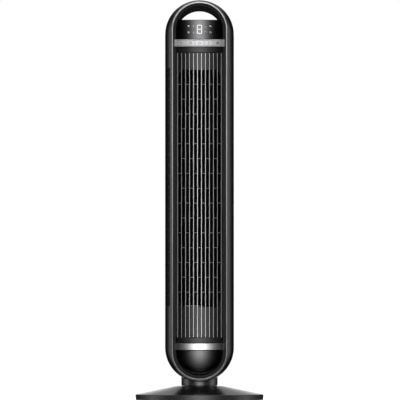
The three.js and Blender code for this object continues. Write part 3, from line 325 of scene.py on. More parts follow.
def brushed_metal(shader, colour, roughness, stretch, metallic=1.0, streaks=1400.0):
    """Metal-look coating, brushed along the axis with the small stretch."""
    streak = shader.noise(streaks, 3, stretch)
    slow = shader.noise(30, 2)
    tone = shader.blend(streak.ramp(0.25, 0.8), solid_colour([c * 0.97 for c in colour]),
                        solid_colour([min(1.0, c * 1.03) for c in colour]))
    return shader.surface(
        base_color=tone, metallic=metallic,
        roughness=roughness + streak * 0.05 + slow * 0.02 - 0.03,
        normal=shader.bump(streak, 0.007, 0.00004))


def turned_metal(shader, colour, roughness):
    """Bare machined metal with fine rings and a little tarnish."""
    ring = shader.noise(700, 2, (0.2, 0.2, 6))
    stain = shader.noise(60, 3)
    tone = shader.blend(stain.ramp(0.4, 0.8), solid_colour(colour),
                        solid_colour([c * 0.72 for c in colour]))
    return shader.surface(
        base_color=tone, metallic=1.0, roughness=roughness + stain * 0.2 - 0.08,
        normal=shader.bump(ring, 0.15, 0.00005))


def trim_metal(shader):
    """Brushed trim with painted shade: its colour darkens towards the foot, where less light
    reaches it.
    """
    streak = shader.noise(900, 2, (1, 1, 0.04))
    _, _, z = shader.split(shader.place())
    # painted shade: the colour falls from the top of the trim to its foot
    tone = shader.blend(z.ramp(0.12, 0.74), solid_colour((0.22, 0.22, 0.225)),
                        solid_colour((0.47, 0.47, 0.48)))
    return shader.surface(
        base_color=tone, metallic=1.0, roughness=0.33 + streak * 0.08,
        normal=shader.bump(streak, 0.015, 0.00004))


def base_cone(shader):
    """Gloss base whose outer edge is faintly lighter and rougher."""
    haze = shader.noise(30, 3)
    x, y, _ = shader.split(shader.place())
    reach = (x * x + y * y) ** 0.5
    edge = reach.ramp(0.142, 0.1465)
    tone = shader.blend(edge, solid_colour((0.009, 0.009, 0.0095)),
                        solid_colour((0.016, 0.016, 0.017)))
    return shader.surface(
        base_color=tone, roughness=0.14 + haze * 0.07 + edge * 0.26, specular_ior_level=0.95,
        normal=shader.bump(shader.noise(80, 1), 0.03, 0.0003))


def board_face(shader):
    """Green circuit board with copper tracks under the mask."""
    tracks = shader.node("ShaderNodeTexVoronoi", {"feature": "DISTANCE_TO_EDGE"},
                         {"Vector": shader.place(), "Scale": 260.0}, output="Distance")
    line = tracks.under(0.06)
    tone = shader.blend(line, solid_colour((0.012, 0.10, 0.045)),
                        solid_colour((0.04, 0.22, 0.10)))
    return shader.surface(base_color=tone, roughness=0.4 + line * 0.1)


def ribbon_skin(shader):
    """Grey ribbon cable with its separate wires."""
    x, y, _ = shader.split(shader.place())
    wave = ((x + y) * 5000.0).math("SINE", (x + y) * 5000.0)
    tone = shader.blend(wave * 0.5 + 0.5, solid_colour((0.20, 0.20, 0.21)),
                        solid_colour((0.38, 0.38, 0.39)))
    return shader.surface(base_color=tone, roughness=0.55)


def lit_print(shader):
    """Lit segments behind the dark window."""
    glow = shader.noise(400, 1)
    colour = solid_colour(bpy.context.scene.fan_finishes.glow)
    return shader.surface(
        base_color=(0.3, 0.3, 0.3, 1), roughness=0.4 + glow * 0.1,
        emission_color=colour, emission_strength=0.8)


def dim_print(shader):
    """Symbols that glow less than the digit."""
    glow = shader.noise(300, 1)
    return shader.surface(
        base_color=(0.35, 0.35, 0.36, 1), roughness=0.45 + glow * 0.1,
        emission_color=(0.36, 0.36, 0.37, 1), emission_strength=1.0)


FINISH_MAKERS = {
    "housing_gloss": lambda s: gloss_plastic(s, bpy.context.scene.fan_finishes.housing),
    "display_gloss": lambda s: gloss_plastic(s, (0.0008, 0.0008, 0.0009), 0.10, 0.75),
    "cover_gloss": lambda s: gloss_plastic(s, (0.0008, 0.0008, 0.0009), 0.10, 0.7),
    "base_gloss": base_cone,
    "rim_matt": lambda s: grained_plastic(s, (0.008, 0.008, 0.0082), 0.55, specular=0.24),
    "arch_matt": lambda s: grained_plastic(s, (0.003, 0.003, 0.003), 0.6, specular=0.12),
    "strip_satin": lambda s: grained_plastic(
        s, (0.004, 0.004, 0.0042), 0.33, 700.0, 0.12, 0.42),
    "intake_satin": lambda s: grained_plastic(
        s, (0.006, 0.006, 0.0063), 0.3, 700.0, 0.25, 0.3),
    # painted shade: near-black finish for the sheet that stands for the dark inside of the intake
    "intake_painted_shade": lambda s: grained_plastic(s, (0.0012, 0.0012, 0.0012), 0.85, specular=0.03),
    "silver_brushed": lambda s: brushed_metal(
        s, [c * 1.06 for c in bpy.context.scene.fan_finishes.silver], 0.52, (0.04, 1, 1)),
    "silver_bright": lambda s: brushed_metal(
        s, [c * 0.62 for c in bpy.context.scene.fan_finishes.silver], 0.27, (0.04, 1, 1)),
    # trim finish with painted shade towards its foot
    "trim_brushed_painted_shade": trim_metal,
    "fin_coat": lambda s: brushed_metal(
        s, bpy.context.scene.fan_finishes.fin, 0.42, (1, 1, 0.02), 0.9),
    "crossbar_coat": lambda s: brushed_metal(s, (0.24, 0.24, 0.245), 0.42, (0.1, 1, 1), 0.9),
    "neck_gloss": lambda s: brushed_metal(s, (0.14, 0.14, 0.142), 0.42, (1, 1, 0.2)),
    "icon_print": lambda s: grained_plastic(s, (0.028, 0.028, 0.029), 0.5),
    "foot_rubber": lambda s: grained_plastic(s, (0.012, 0.012, 0.012), 0.85, 500.0, 0.6),
    "steel_bright": lambda s: turned_metal(s, (0.42, 0.42, 0.43), 0.3),
    "screw_black": lambda s: turned_metal(s, (0.05, 0.05, 0.052), 0.35),
    "aluminium_cast": lambda s: turned_metal(s, (0.5, 0.5, 0.51), 0.45),
    "bronze_bush": lambda s: turned_metal(s, (0.42, 0.22, 0.11), 0.4),
    "nylon_natural": lambda s: grained_plastic(s, (0.68, 0.66, 0.60), 0.5, 400.0, 0.2),
    "board_green": board_face,
    "ribbon_grey": ribbon_skin,
    "chassis_dark": lambda s: grained_plastic(s, (0.0015, 0.0015, 0.0015), 0.8, specular=0.05),
    "impeller_dark": lambda s: grained_plastic(s, (0.002, 0.002, 0.002), 0.7, specular=0.06),
    "digit_lit": lit_print,
    "symbol_dim": dim_print,
}


# ---------------------------------------------------------------- mesh building


def add_piece(bm, name, body, finish_name, replaced=(), weighted=False):
    """Turns a bmesh into a finished piece that rides on a body of the frame."""
    mesh = bpy.data.meshes.new(name)
    bm.to_mesh(mesh)
    bm.free()
    mesh.shade_smooth()
    mesh.set_sharp_from_angle(angle=SHARP_ANGLE)
    mesh.materials.append(finish(finish_name))
    piece = bpy.data.objects.new(name, mesh)
    bpy.context.scene.collection.objects.link(piece)
    if weighted:
        normals = piece.modifiers.new("even_normals", "WEIGHTED_NORMAL")
        normals.keep_sharp = True
    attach(piece, body)
    if replaced:
        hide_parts(*replaced)
    return piece


def point_outwards(bm):
    """Merges doubles and turns all faces outwards."""
    bmesh.ops.remove_doubles(bm, verts=bm.verts, dist=MERGE)
    bmesh.ops.recalc_face_normals(bm, faces=bm.faces)


def face_away(bm, direction):
    """Turns an open sheet so that its faces point mostly along a direction."""
    point_outwards(bm)
    total = sum((f.normal * f.calc_area() for f in bm.faces), Vector())
    if total.dot(Vector(direction)) < 0:
        bmesh.ops.reverse_faces(bm, faces=bm.faces)


def thicken(bm, wall):
    bmesh.ops.solidify(bm, geom=bm.faces[:], thickness=wall)


def soften(bm, width, segments=3, angle=40, choose=None):
    """Rounds the edges that turn by more than an angle."""
    limit = math.radians(angle)
    edges = [
        e for e in bm.edges
        if len(e.link_faces) == 2 and e.calc_face_angle(0) > limit
        and (choose is None or choose(e))
    ]
    bmesh.ops.bevel(
        bm, geom=edges, offset=width, offset_type="OFFSET", segments=segments, profile=0.5,
        affect="EDGES", material=-1, clamp_overlap=True)


def shape_sheet(bm, wall, rounding, segments=3):
    """Turns a sheet to the front, gives it its wall and rounds its rim."""
    face_away(bm, -DEPTH)
    thicken(bm, wall)
    soften(bm, rounding, segments, 60)


def new_points(geometry):
    return [g for g in geometry if isinstance(g, bmesh.types.BMVert)]


def add_block(bm, low, high):
    """A block between two corners."""
    low, high = Vector(low), Vector(high)
    made = bmesh.ops.create_cube(bm, size=1)["verts"]
    bmesh.ops.scale(bm, vec=high - low, verts=made)
    bmesh.ops.translate(bm, vec=(low + high) / 2, verts=made)
    return made


def add_disc(bm, radius, centre, turn=None, segments=32):
    """A filled disc facing up, or turned."""
    place = Matrix.Translation(centre) @ (turn or Matrix())
    return bmesh.ops.create_circle(
        bm, cap_ends=True, segments=segments, radius=radius, matrix=place)["verts"]


class Outline:
    """An upright outline with two round ends, at one depth."""

    def __init__(self, half_width, low, high, depth):
        self.half_width = half_width
        self.depth = depth
        self.top_centre = Vector((0, depth, high - half_width))
        self.low_centre = Vector((0, depth, low + half_width))

    def draw(self, bm, steps):
        """Spins a vertex round each end and joins the two arcs by straight sides."""
        start = bm.verts.new(self.top_centre + Vector((self.half_width, 0, 0)))
        first = bmesh.ops.spin(
            bm, geom=[start], cent=self.top_centre, axis=-DEPTH, angle=math.pi, steps=steps)
        turn = bm.verts.new(self.low_centre - Vector((self.half_width, 0, 0)))
        second = bmesh.ops.spin(
            bm, geom=[turn], cent=self.low_centre, axis=-DEPTH, angle=math.pi, steps=steps)
        bm.edges.new((first["geom_last"][0], turn))
        bm.edges.new((second["geom_last"][0], start))
        return list({e for v in bm.verts for e in v.link_edges})


def loft(bm, outlines, steps=48, closed=False):
    """Extrudes the first outline through all the others."""
    edges = outlines[0].draw(bm, steps)
    first = edges
    middle = (outlines[0].top_centre.z + outlines[0].low_centre.z) / 2
    for before, after in zip(outlines, outlines[1:]):
        made = bmesh.ops.extrude_edge_only(bm, edges=edges)["geom"]
        points = set(new_points(made))
        edges = [e for e in made if isinstance(e, bmesh.types.BMEdge) and set(e.verts) <= points]
        size = after.half_width / before.half_width
        for part, old, new in (
            ([v for v in points if v.co.z > middle], before.top_centre, after.top_centre),
            ([v for v in points if v.co.z <= middle], before.low_centre, after.low_centre),
        ):
            bmesh.ops.scale(bm, vec=(size, 1, size), space=Matrix.Translation(-old), verts=part)
            bmesh.ops.translate(bm, vec=new - old, verts=part)
    if closed:
        bmesh.ops.bridge_loops(bm, edges=first + edges)
    return edges


def bake_modifiers(bm, cutters, wall=0.0):
    """Thickens a shell and cuts the cutters out of it, and gives back the finished bmesh."""
    mesh = bpy.data.meshes.new("work")
    bm.to_mesh(mesh)
    bm.free()
    work = bpy.data.objects.new("work", mesh)
    bpy.context.scene.collection.objects.link(work)
    if wall:
        skin = work.modifiers.new("wall", "SOLIDIFY")
        skin.thickness = wall
        skin.offset = -1
        skin.use_even_offset = True
    helpers = []
    for cutter in cutters:
        shape = bpy.data.meshes.new("cutter")
        cutter.to_mesh(shape)
        cutter.free()
        helper = bpy.data.objects.new("cutter", shape)
        bpy.context.scene.collection.objects.link(helper)
        helpers.append(helper)
        cut = work.modifiers.new("cut", "BOOLEAN")
        cut.operation = "DIFFERENCE"
        cut.solver = "EXACT"
        cut.object = helper
    graph = bpy.context.evaluated_depsgraph_get()
    baked = bmesh.new()
    baked.from_mesh(work.evaluated_get(graph).to_mesh())
    for spare in [work, *helpers]:
        data = spare.data
        bpy.data.objects.remove(spare)
        bpy.data.meshes.remove(data)
    return baked


# ---------------------------------------------------------------- shape of the housing


FRONT_STEPS, SIDE_STEPS, REAR_STEPS = 9, 4, 26      # outlines along the housing's depth
CROWN_ABOVE_TRIM = 2 * MM           # the front lip stands this far outside the trim
HOLE_BELOW_TRIM = 22.6 * MM         # trim's top to the top of the hand hole
INTAKE_EDGE = 67.5 * MM             # where the intake starts, measured from the middle


def shoulder_radius():
    s = bpy.context.scene.fan_housing
    run = s.shoulder - s.front
    return (run ** 2 + s.lip_inset ** 2) / (2 * s.lip_inset)


def half_width_at(depth):
    """Half the housing's width at a depth."""
    s = bpy.context.scene.fan_housing
    radius = shoulder_radius()
    if depth < s.shoulder:
        return s.half_width - radius + math.sqrt(radius ** 2 - (depth - s.shoulder) ** 2)
    part = max(0.0, depth - s.rear_start) / s.rear_reach
    return s.half_width * (1 - part ** s.rear_power) ** (1 / s.rear_power)


def shoulder_round(depth):
    """0 on the flat side, rising to 1 at the front lip."""
    s = bpy.context.scene.fan_housing
    part = min(1.0, max(0.0, (s.shoulder - depth) / (s.shoulder - s.front)))
    return 1 - math.sqrt(1 - part ** 2)


def housing_outline(depth):
    """The housing's outline at a depth, with its sloping crown and rising tail."""
    s = bpy.context.scene.fan_housing
    f = bpy.context.scene.fan_face
    drop = s.top - (f.arc_top + f.outer) - CROWN_ABOVE_TRIM
    rise = f.arc_bottom - f.outer - s.bottom - CROWN_ABOVE_TRIM
    back = max(0.0, depth - s.crown_start) / (s.back - s.crown_start)
    tail = max(0.0, depth - s.tail_start) / (s.back - s.tail_start)
    top = s.top - s.crown_drop * back ** 1.5 - drop * shoulder_round(depth)
    low = s.bottom + s.tail_rise * tail ** 2 + rise * shoulder_round(depth)
    return Outline(half_width_at(depth), low, top, depth)


def housing_depths():
    """Depths that follow the shoulder, the side and the rear curve evenly."""
    s = bpy.context.scene.fan_housing
    radius = shoulder_radius()
    widest = math.asin((s.shoulder - s.front) / radius)
    front = [
        s.shoulder - radius * math.sin(widest * (1 - i / FRONT_STEPS))
        for i in range(FRONT_STEPS + 1)
    ]
    front[0] = s.front
    side = [
        s.shoulder + (s.rear_start - s.shoulder) * i / SIDE_STEPS
        for i in range(1, SIDE_STEPS + 1)
    ]
    end = math.asin(((s.back - s.rear_start) / s.rear_reach) ** (s.rear_power / 2))
    rear = [
        s.rear_start + s.rear_reach * math.sin(end * i / REAR_STEPS) ** (2 / s.rear_power)
        for i in range(1, REAR_STEPS + 1)
    ]
    rear[-1] = s.back
    return front + side + rear


def depth_of_crown(x, z):
    """The depth at which the housing's crown passes through a point seen from the front."""
    s = bpy.context.scene.fan_housing
    near, far = s.crown_start, s.back
    for _ in range(40):
        middle = (near + far) / 2
        outline = housing_outline(middle)
        inside = math.hypot(x, max(0.0, z - outline.top_centre.z)) < outline.half_width
        near, far = (middle, far) if inside else (near, middle)
    return near


def bow_radius():
    f = bpy.context.scene.fan_face
    return (f.half ** 2 + f.bow_sag ** 2) / (2 * f.bow_sag)


def bow_depth(x, proud=0.0):
    """Depth of the bowed front at a distance from the middle."""
    radius = bow_radius()
    return bpy.context.scene.fan_face.crown + radius - math.sqrt((radius + proud) ** 2 - x ** 2)


def hole_sizes():
    """Radius, arc centre and floor of the hand hole."""
    floor = span("display_cover", 2)[1] + GAP
    radius = bpy.context.scene.fan_face.half - 0.2 * MM
    top = bpy.context.scene.fan_face.arc_top + bpy.context.scene.fan_face.outer - HOLE_BELOW_TRIM
    return radius, top - radius, floor


def hole_face(bm, depth, margin, steps=96):
    """A filled hand-hole shape at a depth, a disc cut flat along the floor."""
    radius, centre, floor = hole_sizes()
    points = add_disc(
        bm, radius + margin, (0, depth, centre), UPRIGHT, steps)
    geometry = points + list({e for v in points for e in v.link_edges}) \
        + list({f for v in points for f in v.link_faces})
    bmesh.ops.bisect_plane(
        bm, geom=geometry, plane_co=(0, 0, floor - margin), plane_no=(0, 0, -1),
        clear_outer=True, dist=HAIR)
    bmesh.ops.holes_fill(bm, edges=bm.edges)


def block_cutter(low, high):
    cutter = bmesh.new()
    add_block(cutter, low, high)
    return cutter


def hole_cutter(margin, front, back):
    cutter = bmesh.new()
    hole_face(cutter, front, margin)
    made = bmesh.ops.extrude_face_region(cutter, geom=cutter.faces[:])["geom"]
    bmesh.ops.translate(cutter, vec=(0, back - front, 0), verts=new_points(made))
    bmesh.ops.recalc_face_normals(cutter, faces=cutter.faces)
    return cutter


def neck_cutter(height=60 * MM):
    """An upright rod that clears the neck."""
    cutter = bmesh.new()
    radius = span("neck", 0)[1] + GAP
    bmesh.ops.create_cone(
        cutter, cap_ends=True, segments=48, radius1=radius, radius2=radius, depth=height,
        matrix=Matrix.Translation((0, 0, height / 2)))
    return cutter


# ---------------------------------------------------------------- operators


LINING_WALL = 2.3 * MM
BEAD_HEIGHT = 0.9 * MM
BEAD_SKIRT = 2.2 * MM               # the bead's flanks end this far behind the lip
BEAD_STEPS = 8
BEAD_TURN = 0.62 * math.pi          # the bead's section, from its outer flank inwards
SEAM_SECTION = ((-0.9, -0.3), (-0.5, 0.12), (0.5, 0.12), (0.9, -0.3))     # depth, height in mm


class FAN_OT_housing(bpy.types.Operator):
    """Build the tall gloss housing with its sloping crown"""

    bl_idname = "fan.housing"
    bl_label = "Housing"
    bl_options = {"REGISTER", "UNDO"}

    def execute(self, context):
        s = context.scene.fan_housing
        bm = bmesh.new()
        last = loft(bm, [housing_outline(depth) for depth in housing_depths()], steps=56)
        bmesh.ops.contextual_create(bm, geom=last)
        face_away(bm, (0, 1, 0))
        window_low, window_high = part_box("intake_grille")
        outside, behind = s.half_width + SPARE, s.back + SPARE
        low, high = window_low.z - GAP, window_high.z + GAP
        cutters = [
            hole_cutter(LINING_WALL + GAP, -50 * MM, behind),
            block_cutter((-outside, s.front - SPARE, low), (-INTAKE_EDGE, 5 * MM, high)),
            block_cutter((-outside, 0, low), (window_high.x + GAP, behind, high)),
            neck_cutter(),
        ]
        bm = bake_modifiers(bm, cutters, s.wall)
        add_piece(bm, "housing_shell", "tower", "housing_gloss",
                  ("front_housing", "rear_housing", "rear_crown"))
        self.lip(context)
        self.seam(context)
        return {"FINISHED"}

    def lip(self, context):
        """The rounded bead that closes the housing against the trim ring."""
        f, front = context.scene.fan_face, context.scene.fan_housing.front
        inner, outer = f.outer + 0.1 * MM, half_width_at(front) + 0.35 * MM
        reach = (outer - inner) / (1 - math.cos(BEAD_TURN))
        profile = [(outer, front + BEAD_SKIRT)]
        for i in range(BEAD_STEPS + 1):
            turn = BEAD_TURN * i / BEAD_STEPS
            profile.append((
                outer - reach * (1 - math.cos(turn)),
                front + BEAD_HEIGHT * (1 - math.sin(turn))))
        profile.append((inner, front + BEAD_SKIRT))
        bm = bmesh.new()
        loft(bm, [
            Outline(radius, f.arc_bottom - radius, f.arc_top + radius, depth)
            for radius, depth in profile
        ], steps=64, closed=True)
        point_outwards(bm)
        add_piece(bm, "housing_lip", "tower", "housing_gloss")

    def seam(self, context):
        """A fine raised bead round the parting line of the two housing halves."""
        seam = span("front_housing", 1)[1]
        bm = bmesh.new()
        outlines = []
        for depth, proud in SEAM_SECTION:
            outline = housing_outline(seam + depth * MM)
            half = outline.half_width + proud * MM
            outlines.append(Outline(
                half, outline.low_centre.z - half, outline.top_centre.z + half,
                seam + depth * MM))
        loft(bm, outlines, steps=56, closed=True)
        point_outwards(bm)
        grille_low, grille_high = span("intake_grille", 2)
        bm = bake_modifiers(bm, [
            block_cutter((-0.1, -0.1, grille_low - GAP), (0, 0.1, grille_high + GAP)),
            neck_cutter(),
        ])
        add_piece(bm, "housing_seam", "tower", "rim_matt")


BRICK_FRAME = 1.35 * MM             # half the bridge between two slots
CLOTH_DEPTH = 6 * MM


class FAN_OT_intake(bpy.types.Operator):
    """Build the slotted intake wall round the left side and the back"""

    bl_idname = "fan.intake"
    bl_label = "Intake slots"
    bl_options = {"REGISTER", "UNDO"}

    def execute(self, context):
        s = context.scene.fan_housing
        low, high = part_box("intake_grille")
        path = self.wall_path(s, high.x)
        length = path[-1][0]
        columns = 2 * round(length / s.slot_pitch / 2)
        rows = round((high.z - low.z) / s.slot_row)
        bm = bmesh.new()
        bmesh.ops.create_grid(bm, x_segments=columns, y_segments=2 * rows, size=0.5)
        bmesh.ops.translate(bm, vec=(0.5, 0.5, 0), verts=bm.verts)
        bmesh.ops.scale(bm, vec=(columns, 2 * rows, 1), verts=bm.verts)
        level = [
            e for e in bm.edges
            if abs(e.verts[0].co.y - e.verts[1].co.y) < 0.5 and len(e.link_faces) == 2
            and (round(e.verts[0].co.y) + int((e.verts[0].co.x + e.verts[1].co.x) / 2)) % 2
        ]
        bmesh.ops.dissolve_edges(bm, edges=level, use_verts=False)
        bmesh.ops.scale(
            bm, vec=(length / columns, (high.z - low.z) / (2 * rows), 1), verts=bm.verts)
        bricks = bm.faces[:]
        bmesh.ops.inset_individual(bm, faces=bricks, thickness=BRICK_FRAME, use_even_offset=True)
        bmesh.ops.delete(bm, geom=bricks, context="FACES")
        for vert in bm.verts:
            x, y = self.along(path, vert.co.x)
            vert.co = (x, y, low.z + vert.co.y)
        face_away(bm, (-1, 1, 0))
        thicken(bm, s.wall)
        add_piece(bm, "intake_slots", "tower", "intake_satin", ("intake_grille",))
        self.liner(context, path, low, high)
        return {"FINISHED"}

    @staticmethod
    def wall_path(s, end):
        """Length, x and y of points along the housing's left side and back."""
        start = s.front
        while half_width_at(start) < INTAKE_EDGE + GAP:
            start += 0.05 * MM
        points = [(-half_width_at(start), start)]
        for depth in housing_depths():
            if depth > start + 0.5 * MM:
                points.append((-half_width_at(depth), depth))
        points.append((end, s.back))
        path = [(0.0, *points[0])]
        for x, y in points[1:]:
            travelled, last_x, last_y = path[-1]
            path.append((travelled + math.hypot(x - last_x, y - last_y), x, y))
        return path

    @staticmethod
    def along(path, distance):
        for (s0, x0, y0), (s1, x1, y1) in zip(path, path[1:]):
            if distance <= s1 + HAIR / 100:
                part = (distance - s0) / (s1 - s0)
                return x0 + (x1 - x0) * part, y0 + (y1 - y0) * part
        return path[-1][1:]

    def liner(self, context, path, low, high):
        """A near-black sheet behind the slots that paints the shade inside the housing."""
        bm = bmesh.new()
        bmesh.ops.create_grid(bm, x_segments=48, y_segments=1, size=0.5)
        length = path[-1][0]
        for vert in bm.verts:
            x, y = self.along(path, (vert.co.x + 0.5) * length)
            vert.co = (x, y, low.z + (vert.co.y + 0.5) * (high.z - low.z))
        face_away(bm, (-1, 1, 0))
        bm.normal_update()
        inward = {v: v.normal * -CLOTH_DEPTH for v in bm.verts}
        for vert, shift in inward.items():
            vert.co += shift
        thicken(bm, 0.6 * MM)
        # the sheet is painted shade for the dark inside of the housing
        add_piece(bm, "intake_shade_sheet", "tower", "intake_painted_shade")


class FAN_OT_hand_hole(bpy.types.Operator):
    """Build the hand hole's lining, which follows the sloping crown"""

    bl_idname = "fan.hand_hole"
    bl_label = "Hand hole"
    bl_options = {"REGISTER", "UNDO"}

    def execute(self, context):
        f = context.scene.fan_face
        front, plate_back = span("front_bezel", 1)
        self.lining(front, plate_back)
        self.arch(f, front)
        return {"FINISHED"}

    def lining(self, front, plate_back):
        """The sleeve from the front plate to the crown."""
        bm = bmesh.new()
        hole_face(bm, front, 0.0)
        outline = [e for e in bm.edges if e.is_boundary]
        bmesh.ops.delete(bm, geom=bm.faces[:], context="FACES_ONLY")
        inner = self.push(bm, outline, plate_back - front)
        for _ in range(7):
            inner = self.push(bm, inner, 0.0)
        self.space_rings(bm, plate_back)
        point_outwards(bm)
        if self.points_out(bm):
            bmesh.ops.reverse_faces(bm, faces=bm.faces)
        thicken(bm, LINING_WALL)
        soften(bm, 0.8 * MM, 3, 50)
        add_piece(bm, "hand_hole_lining", "tower", "arch_matt",
                  ("hand_hole_sleeve",), weighted=True)

    @staticmethod
    def push(bm, edges, distance):
        made = bmesh.ops.extrude_edge_only(bm, edges=edges)["geom"]
        points = set(new_points(made))
        bmesh.ops.translate(bm, vec=(0, distance, 0), verts=list(points))
        for vert in points:
            vert.tag = True
        return [e for e in made if isinstance(e, bmesh.types.BMEdge) and set(e.verts) <= points]

    @staticmethod
    def space_rings(bm, plate_back):
        """Spreads each line of stacked points evenly from the plate to the crown."""
        bm.verts.ensure_lookup_table()
        columns = {}
        for vert in bm.verts:
            columns.setdefault((round(vert.co.x, 7), round(vert.co.z, 7)), []).append(vert)
        for (x, z), column in columns.items():
            column.sort(key=lambda v: v.index)
            rings = [v for v in column if v.co.y > plate_back - MERGE]
            end = depth_of_crown(x, z) - 0.2 * MM
            for i, vert in enumerate(rings):
                vert.co.y = plate_back + (end - plate_back) * i / (len(rings) - 1)

    @staticmethod
    def points_out(bm):
        """Whether the lining's faces look away from the hole's middle."""
        middle = hole_sizes()[2] + 8 * MM
        total = 0.0
        for face in bm.faces:
            spot = face.calc_center_median()
            total += face.calc_area() * face.normal.dot(Vector((spot.x, 0, spot.z - middle)))
        return total > 0

    def arch(self, f, front):
        """The arched plate between the rim and the hand hole."""
        floor = hole_sizes()[2]
        bm = bmesh.new()
        add_disc(bm, f.half, (0, front + 1.2 * MM, f.arc_top), UPRIGHT, 128)
        bmesh.ops.bisect_plane(
            bm, geom=bm.verts[:] + bm.edges[:] + bm.faces[:], plane_co=(0, 0, floor),
            plane_no=(0, 0, -1), clear_outer=True, dist=HAIR)
        face_away(bm, (0, -1, 0))
        thicken(bm, 7 * MM)
        bm = bake_modifiers(bm, [hole_cutter(2.2 * MM, front - 5 * MM, front + 30 * MM)])
        soften(bm, 1.0 * MM, 3, 50)
        add_piece(bm, "handle_arch", "tower", "arch_matt", weighted=True)


class FAN_OT_rim(bpy.types.Operator):
    """Build the trim ring and the matt rim inside it"""

    bl_idname = "fan.rim"
    bl_label = "Trim and rim"
    bl_options = {"REGISTER", "UNDO"}

    def execute(self, context):
        f = context.scene.fan_face
        trim_front, trim_back = span("trim_ring", 1)
        inner = f.outer - f.trim_width
        profile = [(f.outer, trim_back), (f.outer, trim_front + 2.0 * MM)]
        for i in range(9):
            turn = math.pi * i / 8
            middle, reach = (f.outer + inner) / 2, f.trim_width / 2
            profile.append((
                middle + reach * math.cos(turn) * 0.98,
                trim_front + 1.5 * MM - 1.5 * MM * math.sin(turn)))
        profile += [(inner, trim_front + 2.0 * MM), (inner, trim_back)]
        self.ring(f, profile, "trim_ring_piece", "trim_brushed_painted_shade", "silver", ("trim_ring",),
                  f.crown_sag)
        rim_front, rim_back = span("front_bezel", 1)
        panel = f.half + 0.3 * MM
        profile = [
            (f.outer, rim_back), (f.outer, rim_front), (inner - 0.1 * MM, rim_front),
            (inner - 1.2 * MM, rim_front - 0.2 * MM), (inner - 3.0 * MM, rim_front - 0.2 * MM),
            (panel + 0.4 * MM, rim_front + 0.1 * MM), (panel + 0.1 * MM, rim_front + 0.3 * MM),
            (panel, rim_front + 0.8 * MM), (panel, rim_back),
        ]
        self.ring(f, profile, "face_rim", "rim_matt", "matt_black", ("front_bezel",))
        return {"FINISHED"}

    @staticmethod
    def ring(f, profile, name, finish_name, slot, replaced, sag=0.0):
        """A ring round the face; its inner edge hangs lower at the top by the sag."""
        bm = bmesh.new()
        loft(bm, [
            Outline(
                radius, f.arc_bottom - radius,
                f.arc_top + radius - sag * (f.outer - radius) / f.trim_width, depth)
            for radius, depth in profile
        ], steps=64, closed=True)
        point_outwards(bm)
        add_piece(bm, name, "tower", finish_name, replaced, weighted=True)


def bowed_panel(bm, left, right, low, high, proud=0.0, columns=48, rows=3, arc=None):
    """A sheet on the bowed front, trimmed by the face's arc where that is lower."""
    f = bpy.context.scene.fan_face
    made = bmesh.ops.create_grid(bm, x_segments=columns, y_segments=rows, size=0.5)["verts"]
    for vert in made:
        x = left + (right - left) * (vert.co.x + 0.5)
        top, bottom = high, low
        reach = math.sqrt(max(0.0, f.half ** 2 - x ** 2))
        if arc == "top":
            top = min(high, f.arc_top + reach)
        z = bottom + (top - bottom) * (vert.co.y + 0.5)
        vert.co = (x, bow_depth(x, proud), z)
    return made


DISPLAY_MIDDLE = 852.6 * MM         # height of the digit's middle
PRINT = 0.25 * MM                   # thickness of a printed or lit mark


